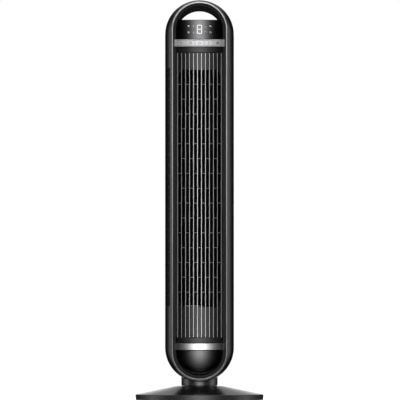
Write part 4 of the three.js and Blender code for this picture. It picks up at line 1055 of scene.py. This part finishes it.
class FAN_OT_display(bpy.types.Operator):
    """Build the dark display window, its digit and its symbols"""

    bl_idname = "fan.display"
    bl_label = "Display"
    bl_options = {"REGISTER", "UNDO"}

    def execute(self, context):
        f = context.scene.fan_face
        low, high = span("display_cover", 2)
        bm = bmesh.new()
        bowed_panel(bm, -f.half, f.half, low, high, columns=36, rows=6, arc="top")
        shape_sheet(bm, 3 * MM, 2.4 * MM, 5)
        add_piece(bm, "display_window", "tower", "display_gloss",
                  ("display_cover",), weighted=True)
        self.shelf(high)
        self.digit(DISPLAY_MIDDLE)
        self.symbols(DISPLAY_MIDDLE)
        return {"FINISHED"}

    def shelf(self, high):
        """The flat shelf that runs back from the window to the hand hole."""
        bm = bmesh.new()
        back = span("front_bezel", 1)[1]
        add_block(bm, (-47.5 * MM, -65 * MM, high - 3.2 * MM), (47.5 * MM, back, high - 0.2 * MM))
        soften(bm, 0.6 * MM, 3)
        add_piece(bm, "display_shelf", "tower", "arch_matt", weighted=True)

    @staticmethod
    def on_window(verts, raised=0.12 * MM):
        """Lays flat shapes on the bowed window, just proud of it."""
        for vert in verts:
            vert.co.y += bow_depth(vert.co.x) - raised

    def digit(self, middle):
        """Seven upright and level bars that read as an eight."""
        half_w, half_h, stroke = 5.9 * MM, 10.4 * MM, 1.9 * MM
        gap = 0.2 * MM
        bm = bmesh.new()
        for level in (-1, 0, 1):
            z = middle + level * (half_h - stroke / 2)
            add_block(bm, (-half_w + stroke * 0.62, 0, z - stroke / 2),
                      (half_w - stroke * 0.62, PRINT, z + stroke / 2))
        for side in (-1, 1):
            for level in (-1, 1):
                x = side * (half_w - stroke / 2)
                z0 = middle + gap if level > 0 else middle - half_h + stroke * 0.45
                z1 = middle + half_h - stroke * 0.45 if level > 0 else middle - gap
                add_block(bm, (x - stroke / 2, 0, z0), (x + stroke / 2, PRINT, z1))
        soften(bm, 0.7 * MM, 3, 60, lambda e: abs((e.verts[0].co - e.verts[1].co).y) > 1e-5)
        self.on_window(bm.verts)
        add_piece(bm, "display_digit", "tower", "digit_lit")

    def symbols(self, middle):
        """Small plain signs in two rows beside the digit."""
        bm = bmesh.new()
        upper, lower = middle + 7.4 * MM, middle - 7.2 * MM
        far, near = 25.0 * MM, 13.8 * MM
        self.dot(bm, -far, upper, 1.9)
        self.bars(bm, -near, upper, 35, (-1.0, 1.0))
        self.arc(bm, near, upper, 2.6, 200, 340)
        self.dot(bm, far - 0.8 * MM, upper, 1.6)
        self.bars(bm, far + 1.6 * MM, upper - 0.6 * MM, -60, (0.0,))
        self.arc(bm, -far, lower, 1.9, 0, 360)
        self.dot(bm, -far, lower, 0.8)
        self.bars(bm, -near, lower, -35, (-1.0, 1.0))
        self.arc(bm, near, lower, 2.2, 20, 160)
        self.arc(bm, far, lower, 1.9, -60, 240)
        self.on_window(bm.verts)
        add_piece(bm, "display_symbols", "tower", "symbol_dim")

    @staticmethod
    def dot(bm, x, z, radius):
        bmesh.ops.create_cone(
            bm, cap_ends=True, segments=20, radius1=radius * MM, radius2=radius * MM,
            depth=PRINT,
            matrix=Matrix.Translation((x, 0.12 * MM, z)) @ UPRIGHT)

    @staticmethod
    def bars(bm, x, z, tilt, offsets):
        for offset in offsets:
            made = add_block(bm, (-0.35 * MM, 0, -2.0 * MM), (0.35 * MM, PRINT, 2.0 * MM))
            bmesh.ops.translate(bm, vec=(offset * MM, 0, 0), verts=made)
            bmesh.ops.rotate(
                bm, cent=(0, 0, 0), matrix=Matrix.Rotation(math.radians(tilt), 3, "Y"), verts=made)
            bmesh.ops.translate(bm, vec=(x, 0, z), verts=made)

    @staticmethod
    def arc(bm, x, z, radius, start, stop, width=0.8):
        """A flat arc from one angle to another, spun from a small rectangle."""
        centre = Vector((x, 0, z))
        half = width / 2 * MM
        made = add_block(
            bm, (x + radius * MM - half, 0, z), (x + radius * MM + half, PRINT, z + 0.01 * MM))
        flat = [f for v in made for f in v.link_faces if f.normal.z > 0.5]
        bmesh.ops.delete(
            bm, geom=[f for f in {f for v in made for f in v.link_faces} if f not in flat],
            context="FACES_ONLY")
        face = flat[0]
        loose = [v for v in made if v not in face.verts]
        bmesh.ops.delete(bm, geom=loose, context="VERTS")
        bmesh.ops.rotate(
            bm, cent=centre, matrix=Matrix.Rotation(-math.radians(start), 3, "Y"),
            verts=list(face.verts))
        sweep = math.radians(stop - start)
        full = abs(stop - start) >= 360
        bmesh.ops.spin(
            bm, geom=[face, *face.edges, *face.verts], cent=centre, axis=(0, -1, 0),
            angle=sweep, steps=28, use_merge=full)


SIGN_HEIGHT = 0.1 * MM
END_KEY_GAP = 0.75 * MM             # the end keys lean, so they need more room when pressed


class FAN_OT_controls(bpy.types.Operator):
    """Build the silver control bar, its five keys and their signs"""

    bl_idname = "fan.controls"
    bl_label = "Control bar and keys"
    bl_options = {"REGISTER", "UNDO"}

    def execute(self, context):
        f = context.scene.fan_face
        low, high = span("control_bar", 2)
        half = span("control_bar", 0)[1]
        key_low, key_high = span("key_1", 2)
        left, right = span("key_1", 0)[0] - END_KEY_GAP, span("key_5", 0)[1] + END_KEY_GAP
        rows = [low, key_low - GAP, key_high + GAP, high]
        bm = bmesh.new()
        for x0, x1 in ((-half, left), (right, half)):
            for z0, z1 in zip(rows, rows[1:]):
                bowed_panel(bm, x0, x1, z0, z1, f.bar_proud, 6, 1)
        for z0, z1 in (rows[:2], rows[2:]):
            bowed_panel(bm, left, right, z0, z1, f.bar_proud, 60, 1)
        shape_sheet(bm, 2.2 * MM, 0.6 * MM)
        add_piece(bm, "control_bar_piece", "tower", "silver_brushed",
                  ("control_bar",), weighted=True)
        for number in range(1, 6):
            self.key(f, number)
        return {"FINISHED"}

    def key(self, f, number):
        """One key cap, which rides on its own body."""
        body = f"key_{number}"
        left, right = span(body, 0)
        low, high = span(body, 2)
        bm = bmesh.new()
        bowed_panel(bm, left - 0.2 * MM, right + 0.2 * MM, low, high, f.bar_proud, 14, 2)
        shape_sheet(bm, 3.2 * MM, 0.45 * MM)
        add_piece(bm, f"key_cap_{number}", body, "silver_brushed", (body,),
                  weighted=True)
        self.sign(f, number, (left + right) / 2, (low + high) / 2)

    def sign(self, f, number, x, z):
        """The key's plain printed sign."""
        bm = bmesh.new()
        arc, bars = FAN_OT_display.arc, FAN_OT_display.bars
        if number == 1:
            bars(bm, x - 1.25 * MM, z, -38, (0.0,))
            bars(bm, x + 1.25 * MM, z, 38, (0.0,))
        elif number == 2:
            arc(bm, x, z, 2.9, 0, 360)
            add_block(bm, (x - 0.3 * MM, 0, z), (x + 0.3 * MM, PRINT, z + 1.9 * MM))
            add_block(bm, (x, 0, z - 0.3 * MM), (x + 1.5 * MM, PRINT, z + 0.3 * MM))
        elif number == 3:
            arc(bm, x, z, 2.8, 125, 415)
            add_block(bm, (x - 0.35 * MM, 0, z + 0.6 * MM), (x + 0.35 * MM, PRINT, z + 3.3 * MM))
        elif number == 4:
            bars(bm, x, z, 0, (0.0,))
            for level in (-3.0, 3.0):
                FAN_OT_display.dot(bm, x, z + level * MM, 0.45)
        else:
            arc(bm, x, z, 2.6, 0, 360)
            arc(bm, x, z, 1.1, 0, 360)
        for vert in bm.verts:
            vert.co.y += bow_depth(vert.co.x, f.bar_proud) - SIGN_HEIGHT
        add_piece(bm, f"key_sign_{number}", f"key_{number}", "icon_print")


END_FIN = 1.5                       # the end fins are this much wider than the others
STRIP_LOW, STRIP_HIGH = 12.9 * MM, 13.8 * MM        # solid strips below and above the fins
PANEL_LOW, PANEL_HIGH = 70.9 * MM, 39.1 * MM        # panels behind the fins' ends
CORNER_START, CORNER_RUN = 43.5 * MM, 6.5 * MM      # where the panels' slanted corners lie
CROSSBAR_RADIUS = 1.0 * MM
CROSSBAR_DEPTH = 2.4 * MM           # crossbars lie this far behind the fins' fronts


class FAN_OT_grille(bpy.types.Operator):
    """Build the outlet: fins, crossbars, end strips and backing panels"""

    bl_idname = "fan.grille"
    bl_label = "Outlet grille"
    bl_options = {"REGISTER", "UNDO"}

    def execute(self, context):
        f = context.scene.fan_face
        low, high = span("front_grille", 2)
        fin_low, fin_high = low + STRIP_LOW, high - STRIP_HIGH
        air_low, air_high = fin_low + PANEL_LOW, fin_high - PANEL_HIGH
        self.strips(f, low, fin_low, fin_high, high)
        self.backing(f, fin_low, air_low, air_high, fin_high)
        self.fins(f, fin_low, fin_high)
        self.crossbars(f, air_low, air_high)
        self.rails(f, low, high)
        return {"FINISHED"}

    def strips(self, f, low, fin_low, fin_high, high):
        """The solid strips under and over the fins."""
        bm = bmesh.new()
        bowed_panel(bm, -f.half, f.half, low, fin_low, 0, 60, 2)
        bowed_panel(bm, -f.half, f.half, fin_high, high, 0, 60, 2)
        shape_sheet(bm, 6 * MM, 1.1 * MM, 4)
        add_piece(bm, "outlet_strips", "tower", "strip_satin", ("front_grille",),
                  weighted=True)

    def backing(self, f, fin_low, air_low, air_high, fin_high):
        """Recessed panels behind the fins' ends, with slanted outer corners at the opening."""
        bm = bmesh.new()
        for low, high, rim, slant in (
            (air_high, fin_high, air_high, -18 * MM), (fin_low, air_low, air_low, 18 * MM)
        ):
            for vert in bowed_panel(bm, -f.half, f.half, low, high, -6 * MM, 60, 2):
                if abs(vert.co.z - rim) < MERGE:
                    part = (abs(vert.co.x) - CORNER_START) / CORNER_RUN
                    vert.co.z += slant * min(1.0, max(0.0, part))
        shape_sheet(bm, 2 * MM, 0.5 * MM, 2)
        add_piece(bm, "outlet_backing", "tower", "strip_satin", weighted=True)

    def fins(self, f, fin_low, fin_high):
        """Upright fins whose fronts follow the bow."""
        bm = bmesh.new()
        for i in range(f.fin_count):
            x = (i - (f.fin_count - 1) / 2) * f.fin_pitch
            half = f.fin_width * (END_FIN if i in (0, f.fin_count - 1) else 1.0) / 2
            back = bow_depth(x) + f.fin_depth
            fin = add_block(
                bm, (x - half, bow_depth(x), fin_low + 0.6 * MM),
                (x + half, back, fin_high - 0.6 * MM))
            front = [v for v in fin if v.co.y < back - MERGE]
            edges = {e for v in front for e in v.link_edges}
            for vert in front:
                vert.co.y = bow_depth(vert.co.x)
            bmesh.ops.bevel(
                bm, geom=list(edges), offset=0.12 * f.fin_width, offset_type="OFFSET",
                segments=2, profile=0.5, affect="EDGES", material=-1, clamp_overlap=True)
        add_piece(bm, "outlet_fins", "tower", "fin_coat", weighted=True)

    def crossbars(self, f, air_low, air_high):
        """Short bars between the fins, staggered from row to row like bricks."""
        bm = bmesh.new()
        middle = (air_low + air_high) / 2
        rows = int((air_high - middle) / f.crossbar_pitch)
        sides = f.fin_count // 2
        for row in range(-rows, rows + 1):
            for gap in range(1 - sides, sides):
                if (gap + row) % 2:
                    continue
                x = gap * f.fin_pitch
                depth = bow_depth(max(0.0, abs(x) - f.fin_pitch / 2)) + CROSSBAR_DEPTH
                place = Matrix.Translation((x, depth, middle + row * f.crossbar_pitch))
                made = bmesh.ops.create_cone(
                    bm, cap_ends=True, segments=10, radius1=CROSSBAR_RADIUS,
                    radius2=CROSSBAR_RADIUS, depth=f.fin_pitch - 0.6 * f.fin_width,
                    matrix=place @ Matrix.Rotation(math.pi / 2, 4, "Y"))["verts"]
                tilt = 2 * (bow_depth(x) - bow_depth(abs(x) - f.fin_pitch / 2)) / f.fin_pitch
                for vert in made:
                    vert.co.y += (vert.co.x - x) * math.copysign(tilt, x)
        add_piece(bm, "outlet_crossbars", "tower", "crossbar_coat")

    def rails(self, f, low, high):
        """The two upright sides of the outlet frame."""
        bm = bmesh.new()
        front, back = bow_depth(f.half), span("front_bezel", 1)[1]
        for side in (-1, 1):
            x = side * (f.half - 0.8 * MM)
            add_block(bm, (x - 0.8 * MM, front + 0.4 * MM, low), (x + 0.8 * MM, back, high))
        soften(bm, 0.5 * MM, 3)
        add_piece(bm, "outlet_rails", "tower", "arch_matt", weighted=True)


class FAN_OT_badge(bpy.types.Operator):
    """Build the plain silver strip under the outlet"""

    bl_idname = "fan.badge"
    bl_label = "Silver strip"
    bl_options = {"REGISTER", "UNDO"}

    def execute(self, context):
        f = context.scene.fan_face
        low, high = span("badge_strip", 2)
        half = span("badge_strip", 0)[1]
        bm = bmesh.new()
        bowed_panel(bm, -half, half, low, high, f.bar_proud, 64, 2)
        shape_sheet(bm, 2.2 * MM, 0.6 * MM)
        add_piece(bm, "silver_strip", "tower", "silver_bright", ("badge_strip",),
                  weighted=True)
        return {"FINISHED"}


CHIN_START = 0.76                   # the dome rolls back beyond this part of its radius
CHIN_ROLL = 4 * MM                  # and by this much at its lowest point


class FAN_OT_lower_cover(bpy.types.Operator):
    """Build the domed cover at the foot of the face"""

    bl_idname = "fan.lower_cover"
    bl_label = "Lower cover"
    bl_options = {"REGISTER", "UNDO"}

    def execute(self, context):
        f = context.scene.fan_face
        high = span("lower_cover", 2)[1]
        radius = bow_radius()
        bm = bmesh.new()
        centre = Vector((0, 0, f.arc_bottom))
        rings = 16
        line = [bm.verts.new(centre)]
        for _ in range(rings):
            made = bmesh.ops.extrude_vert_indiv(bm, verts=[line[-1]])["verts"]
            bmesh.ops.translate(bm, vec=(f.half / rings, 0, 0), verts=made)
            line += made
        bmesh.ops.spin(
            bm, geom=bm.verts[:] + bm.edges[:], cent=centre, axis=(0, 1, 0), angle=math.pi,
            steps=72)
        bmesh.ops.remove_doubles(bm, verts=bm.verts, dist=MERGE)
        top = [
            e for e in bm.edges
            if e.is_boundary and all(abs(v.co.z - f.arc_bottom) < MERGE for v in e.verts)
        ]
        made = bmesh.ops.extrude_edge_only(bm, edges=top)["geom"]
        bmesh.ops.translate(bm, vec=(0, 0, high - f.arc_bottom), verts=new_points(made))
        for vert in bm.verts:
            below = min(0.0, vert.co.z - f.arc_bottom)
            depth = f.crown + radius - math.sqrt(radius ** 2 - vert.co.x ** 2 - below ** 2)
            reach = math.hypot(vert.co.x, below)
            edge = max(0.0, reach / f.half - CHIN_START) / (1 - CHIN_START)
            vert.co.y = depth + CHIN_ROLL * edge ** 2 * (below / max(reach, MM)) ** 4
        shape_sheet(bm, 3 * MM, 1.2 * MM, 4)
        add_piece(bm, "lower_dome", "tower", "cover_gloss", ("lower_cover",),
                  weighted=True)
        return {"FINISHED"}


def lathe(profile, steps=128):
    """A closed profile of (radius, height) pairs turned full circle round the upright axis."""
    bm = bmesh.new()
    points = [bm.verts.new((radius, 0, height)) for radius, height in profile]
    edges = [bm.edges.new(pair) for pair in zip(points, points[1:] + points[:1])]
    bmesh.ops.spin(
        bm, geom=points + edges, cent=(0, 0, 0), axis=(0, 0, 1), angle=2 * math.pi, steps=steps,
        use_merge=True)
    point_outwards(bm)
    return bm


class FAN_OT_base(bpy.types.Operator):
    """Build the round base, its feet and the neck above it"""

    bl_idname = "fan.base"
    bl_label = "Base and neck"
    bl_options = {"REGISTER", "UNDO"}

    def execute(self, context):
        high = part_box("base_cover")[1]
        edge = high.x
        wall = 3 * MM
        rim_top = 13.3 * MM
        foot = 0.8 * MM
        profile = [
            (16 * MM, high.z), (53 * MM, high.z), (54.5 * MM, high.z - 0.25 * MM),
            (edge - 1.6 * MM, rim_top + 0.35 * MM), (edge - 0.5 * MM, rim_top - 0.15 * MM),
            (edge, rim_top - 1.2 * MM), (edge, foot + 1.0 * MM),
            (edge - 0.3 * MM, foot + 0.3 * MM),
            (edge - 1.0 * MM, foot), (edge - wall, foot), (edge - wall, rim_top - 2.6 * MM),
            (54 * MM, high.z - wall), (16 * MM, high.z - wall),
        ]
        bm = lathe(profile, 144)
        add_piece(bm, "base_dish", "base", "base_gloss", ("base_cover",),
                  weighted=True)
        self.neck()
        self.feet()
        return {"FINISHED"}

    def neck(self):
        """The short turning collar between the base and the tower."""
        low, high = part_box("neck")
        outer = high.x
        profile = [
            (outer - 1.0 * MM, low.z), (outer - 0.5 * MM, low.z + 0.4 * MM),
            (outer - 0.4 * MM, low.z + 1.2 * MM), (outer - 0.2 * MM, low.z + 9 * MM),
            (outer, high.z), (outer - 2.8 * MM, high.z),
            (outer - 3.4 * MM, low.z),
        ]
        bm = lathe(profile, 96)
        bmesh.ops.create_cone(
            bm, cap_ends=True, segments=64, radius1=outer - 1 * MM, radius2=outer - 1 * MM,
            depth=0.4 * MM, matrix=Matrix.Translation((0, 0, high.z - 0.4 * MM)))
        add_piece(bm, "neck_sleeve", "tower", "neck_gloss", ("neck",),
                  weighted=True)

    def feet(self):
        for number in range(1, 6):
            low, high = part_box(f"foot_{number}")
            centre = (Vector(low) + Vector(high)) / 2
            radius, top = 9 * MM, high[2]
            bm = lathe([
                (0.4 * MM, 0.25 * MM), (radius - 3 * MM, 0.25 * MM), (radius - 2.4 * MM, 0),
                (radius - 0.7 * MM, 0), (radius - 0.2 * MM, 0.4 * MM), (radius, top),
                (0.4 * MM, top),
            ], 40)
            bmesh.ops.holes_fill(bm, edges=bm.edges)
            bmesh.ops.translate(bm, vec=(centre.x, centre.y, 0), verts=bm.verts)
            add_piece(bm, f"foot_pad_{number}", "base", "foot_rubber",
                      (f"foot_{number}",))


class FAN_OT_back(bpy.types.Operator):
    """Build the cord gland and the screws on the back"""

    bl_idname = "fan.back"
    bl_label = "Gland and screws"
    bl_options = {"REGISTER", "UNDO"}

    def execute(self, context):
        low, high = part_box("cord_gland")
        centre = Vector(((low[0] + high[0]) / 2, 0, (low[2] + high[2]) / 2))
        back = context.scene.fan_housing.back
        turn = Matrix.Translation(centre) @ Matrix.Rotation(-math.pi / 2, 4, "X")
        reach = high[1] - back
        bm = lathe([
            (3.5 * MM, -6 * MM), (8 * MM, -6 * MM), (8 * MM, 0.0), (11 * MM, 0.0),
            (11 * MM, 1.0 * MM), (10.2 * MM, 1.9 * MM), (7.6 * MM, 2.3 * MM),
            (6.6 * MM, 3.2 * MM), (6.3 * MM, 4.0 * MM), (6.9 * MM, 4.4 * MM),
            (6.0 * MM, 5.2 * MM), (6.5 * MM, 5.8 * MM), (5.6 * MM, reach - 0.8 * MM),
            (4.9 * MM, reach), (3.9 * MM, reach), (3.5 * MM, reach - 0.5 * MM),
        ], 48)
        bmesh.ops.transform(
            bm, matrix=Matrix.Translation((0, back, 0)) @ turn, verts=bm.verts)
        add_piece(bm, "cord_inlet", "tower", "foot_rubber", ("cord_gland",))
        for number in range(1, 5):
            self.screw(number)
        return {"FINISHED"}

    def screw(self, number):
        low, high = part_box(f"housing_screw_{number}")
        centre = Vector(((low[0] + high[0]) / 2, 0, (low[2] + high[2]) / 2))
        head = high[1] - 2 * MM
        bm = lathe([
            (0.3 * MM, -14 * MM), (1.5 * MM, -14 * MM), (1.5 * MM, 0.0), (3.2 * MM, 0.0),
            (3.2 * MM, 0.9 * MM), (2.6 * MM, 1.6 * MM), (1.7 * MM, 2.0 * MM), (0.3 * MM, 2.0 * MM),
        ], 32)
        bmesh.ops.holes_fill(bm, edges=bm.edges)
        cross = []
        for wide, tall in ((3.2, 0.7), (0.7, 3.2)):
            x, y = wide / 2 * MM, tall / 2 * MM
            cross.append(block_cutter((-x, -y, 0.9 * MM), (x, y, 3 * MM)))
        bm = bake_modifiers(bm, cross)
        place = Matrix.Translation(centre + Vector((0, head, 0)))
        bmesh.ops.transform(
            bm, matrix=place @ Matrix.Rotation(-math.pi / 2, 4, "X"), verts=bm.verts)
        add_piece(bm, f"back_screw_{number}", "tower", "screw_black",
                  (f"housing_screw_{number}",))


class FAN_OT_impeller(bpy.types.Operator):
    """Build the long cross-flow impeller behind the outlet"""

    bl_idname = "fan.impeller"
    bl_label = "Impeller"
    bl_options = {"REGISTER", "UNDO"}

    def execute(self, context):
        low, high = (Vector(c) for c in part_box("impeller"))
        centre = (low + high) / 2
        radius = (high.x - low.x) / 2
        height = high.z - low.z
        blades, sections = 36, 4
        bm = bmesh.new()
        line = [bm.verts.new((radius - 0.6 * MM, 0, low.z))]
        for tilt in (24, 31, 38, 45):
            made = bmesh.ops.extrude_vert_indiv(bm, verts=[line[-1]])["verts"]
            step = Vector((-math.cos(math.radians(tilt)), math.sin(math.radians(tilt)), 0))
            bmesh.ops.translate(bm, vec=step * 2.4 * MM, verts=made)
            line += made
        made = bmesh.ops.extrude_edge_only(bm, edges=bm.edges[:])["geom"]
        bmesh.ops.translate(bm, vec=(0, 0, height), verts=new_points(made))
        thicken(bm, 0.9 * MM)
        blade = bm.verts[:] + bm.edges[:] + bm.faces[:]
        bmesh.ops.spin(
            bm, geom=blade, cent=(0, 0, 0), axis=(0, 0, 1), angle=2 * math.pi, steps=blades,
            use_duplicate=True, use_merge=False)
        bmesh.ops.delete(bm, geom=[g for g in blade if isinstance(g, bmesh.types.BMVert)],
                         context="VERTS")
        for i in range(sections + 1):
            z = low.z + 1 * MM + (height - 2 * MM) * i / sections
            bmesh.ops.create_cone(
                bm, cap_ends=True, segments=72, radius1=radius, radius2=radius, depth=2 * MM,
                matrix=Matrix.Translation((0, 0, z)))
        bmesh.ops.translate(bm, vec=(centre.x, centre.y, 0), verts=bm.verts)
        bmesh.ops.recalc_face_normals(bm, faces=bm.faces)
        add_piece(bm, "impeller_drum", "impeller", "impeller_dark",
                  ("impeller",))
        return {"FINISHED"}


CAD_FINISHES = {
    "gloss_black": "housing_gloss", "matt_black": "rim_matt", "satin_black": "strip_satin",
    "silver": "silver_brushed", "key_silver": "silver_brushed", "rubber": "foot_rubber",
    "steel": "steel_bright", "aluminium": "aluminium_cast", "bronze": "bronze_bush",
    "nylon": "nylon_natural", "circuit_board": "board_green", "ribbon": "ribbon_grey",
    "chassis": "chassis_dark", "impeller_grey": "impeller_dark",
}


class FAN_OT_inner_parts(bpy.types.Operator):
    """Give every carried-over inner part its own finish"""

    bl_idname = "fan.inner_parts"
    bl_label = "Inner parts"
    bl_options = {"REGISTER", "UNDO"}

    def execute(self, context):
        slots = {s["node"]: s["material_slot"] for s in frame["record"]["subparts"]}
        for name, node in frame["nodes"].items():
            chosen = finish(CAD_FINISHES[slots[name]])
            if not node.material_slots:
                node.data.materials.append(chosen)
            for place in node.material_slots:
                place.material = chosen
        return {"FINISHED"}


class FAN_OT_stage(bpy.types.Operator):
    """Set up the pale floor, the soft studio light and the camera"""

    bl_idname = "fan.stage"
    bl_label = "Stage"
    bl_options = {"REGISTER", "UNDO"}

    def execute(self, context):
        scene = context.scene
        scene.view_settings.view_transform = "Standard"
        self.floor(scene)
        self.light(scene)
        self.camera(scene)
        return {"FINISHED"}

    def floor(self, scene):
        bm = bmesh.new()
        add_disc(bm, 0.6, (0, 0, -0.2 * MM), segments=128)
        mesh = bpy.data.meshes.new("studio_floor")
        bm.to_mesh(mesh)
        bm.free()
        floor = bpy.data.objects.new("studio_floor", mesh)
        scene.collection.objects.link(floor)
        shader = Shader(bpy.data.materials.new("floor_white"))
        grain = shader.noise(40, 2)
        paper = shader.node("ShaderNodeBsdfPrincipled", {}, {
            "Base Color": (0.92, 0.92, 0.92, 1), "Roughness": 0.8 + grain * 0.1,
            "Specular IOR Level": 0.0, "Emission Color": (0.75, 0.75, 0.75, 1),
            "Emission Strength": 1.0})
        clear = shader.node("ShaderNodeBsdfTransparent")
        seen = shader.node("ShaderNodeLightPath", output="Is Camera Ray")
        mixed = shader.node("ShaderNodeMixShader", {}, {0: seen, 1: clear, 2: paper})
        shader.node("ShaderNodeOutputMaterial", {}, {"Surface": mixed})
        mesh.materials.append(shader.owner)

    def light(self, scene):
        """A soft box in front, a strip at each side and a pale ceiling."""
        world = bpy.data.worlds.new("studio")
        scene.world = world
        shader = Shader(world)
        spot = shader.node("ShaderNodeTexCoord", output="Generated")
        x, y, z = shader.split(spot)
        degrees = 180 / math.pi
        azimuth = abs(x.math("ARCTAN2", x, 0 - y)) * degrees
        height = z.math("ARCSINE", z) * degrees
        front = azimuth.bell(0, 13) * height.bell(0, 18) * 5.8
        rising = azimuth.ramp(72, 90)
        tail = azimuth.math("EXPONENT", (92 - azimuth.math("MAXIMUM", azimuth, 92.0)) / 10)
        spread = height.bell(0, 45) * height.ramp(-34, -6)
        side = rising * tail * (1 - azimuth.ramp(112, 136)) * spread * 1.95
        ceiling = height.ramp(28, 75) * 1.6
        behind = azimuth.ramp(120, 160) * height.bell(38, 12) * 0.8
        horizon = azimuth.bell(180, 8) * height.bell(0, 16) * 1.45
        glow = front + side + ceiling + behind + horizon + 0.003
        seen = shader.node("ShaderNodeLightPath", output="Is Camera Ray")
        strength = seen + (1 - seen) * glow
        sky = shader.node(
            "ShaderNodeBackground", {}, {"Color": (1, 1, 1, 1), "Strength": strength})
        shader.node("ShaderNodeOutputWorld", {}, {"Surface": sky})

    def camera(self, scene):
        data = bpy.data.cameras.new("camera")
        data.lens = 1600
        data.sensor_width = 36
        data.clip_end = 200
        camera = bpy.data.objects.new("camera", data)
        camera.location = (1.17 * MM, -40.89, 0.4606)
        camera.rotation_euler = (math.pi / 2, 0, 0)
        scene.collection.objects.link(camera)
        scene.camera = camera


class FAN_PT_panel(bpy.types.Panel):
    """Lists the fan's building steps"""

    bl_idname = "FAN_PT_panel"
    bl_label = "Tower Fan"
    bl_space_type = "VIEW_3D"
    bl_region_type = "UI"
    bl_category = "Tower Fan"

    def draw(self, context):
        for step in STEPS:
            self.layout.operator(step.bl_idname)


SETTINGS = {
    "fan_housing": FanHousingSettings,
    "fan_face": FanFaceSettings,
    "fan_finishes": FanFinishSettings,
}
STEPS = (
    FAN_OT_stage, FAN_OT_housing, FAN_OT_intake, FAN_OT_hand_hole, FAN_OT_rim, FAN_OT_display,
    FAN_OT_controls, FAN_OT_grille, FAN_OT_badge, FAN_OT_lower_cover, FAN_OT_base, FAN_OT_back,
    FAN_OT_impeller, FAN_OT_inner_parts,
)


def register():
    for made in (*SETTINGS.values(), *STEPS, FAN_PT_panel):
        bpy.utils.register_class(made)
    for name, group in SETTINGS.items():
        setattr(bpy.types.Scene, name, PointerProperty(type=group))


def unregister():
    for name in SETTINGS:
        delattr(bpy.types.Scene, name)
    for made in (FAN_PT_panel, *reversed(STEPS), *SETTINGS.values()):
        bpy.utils.unregister_class(made)


def main():
    register()
    for step in STEPS:
        group, name = step.bl_idname.split(".")
        getattr(getattr(bpy.ops, group), name)()


if __name__ == "__main__":
    main()
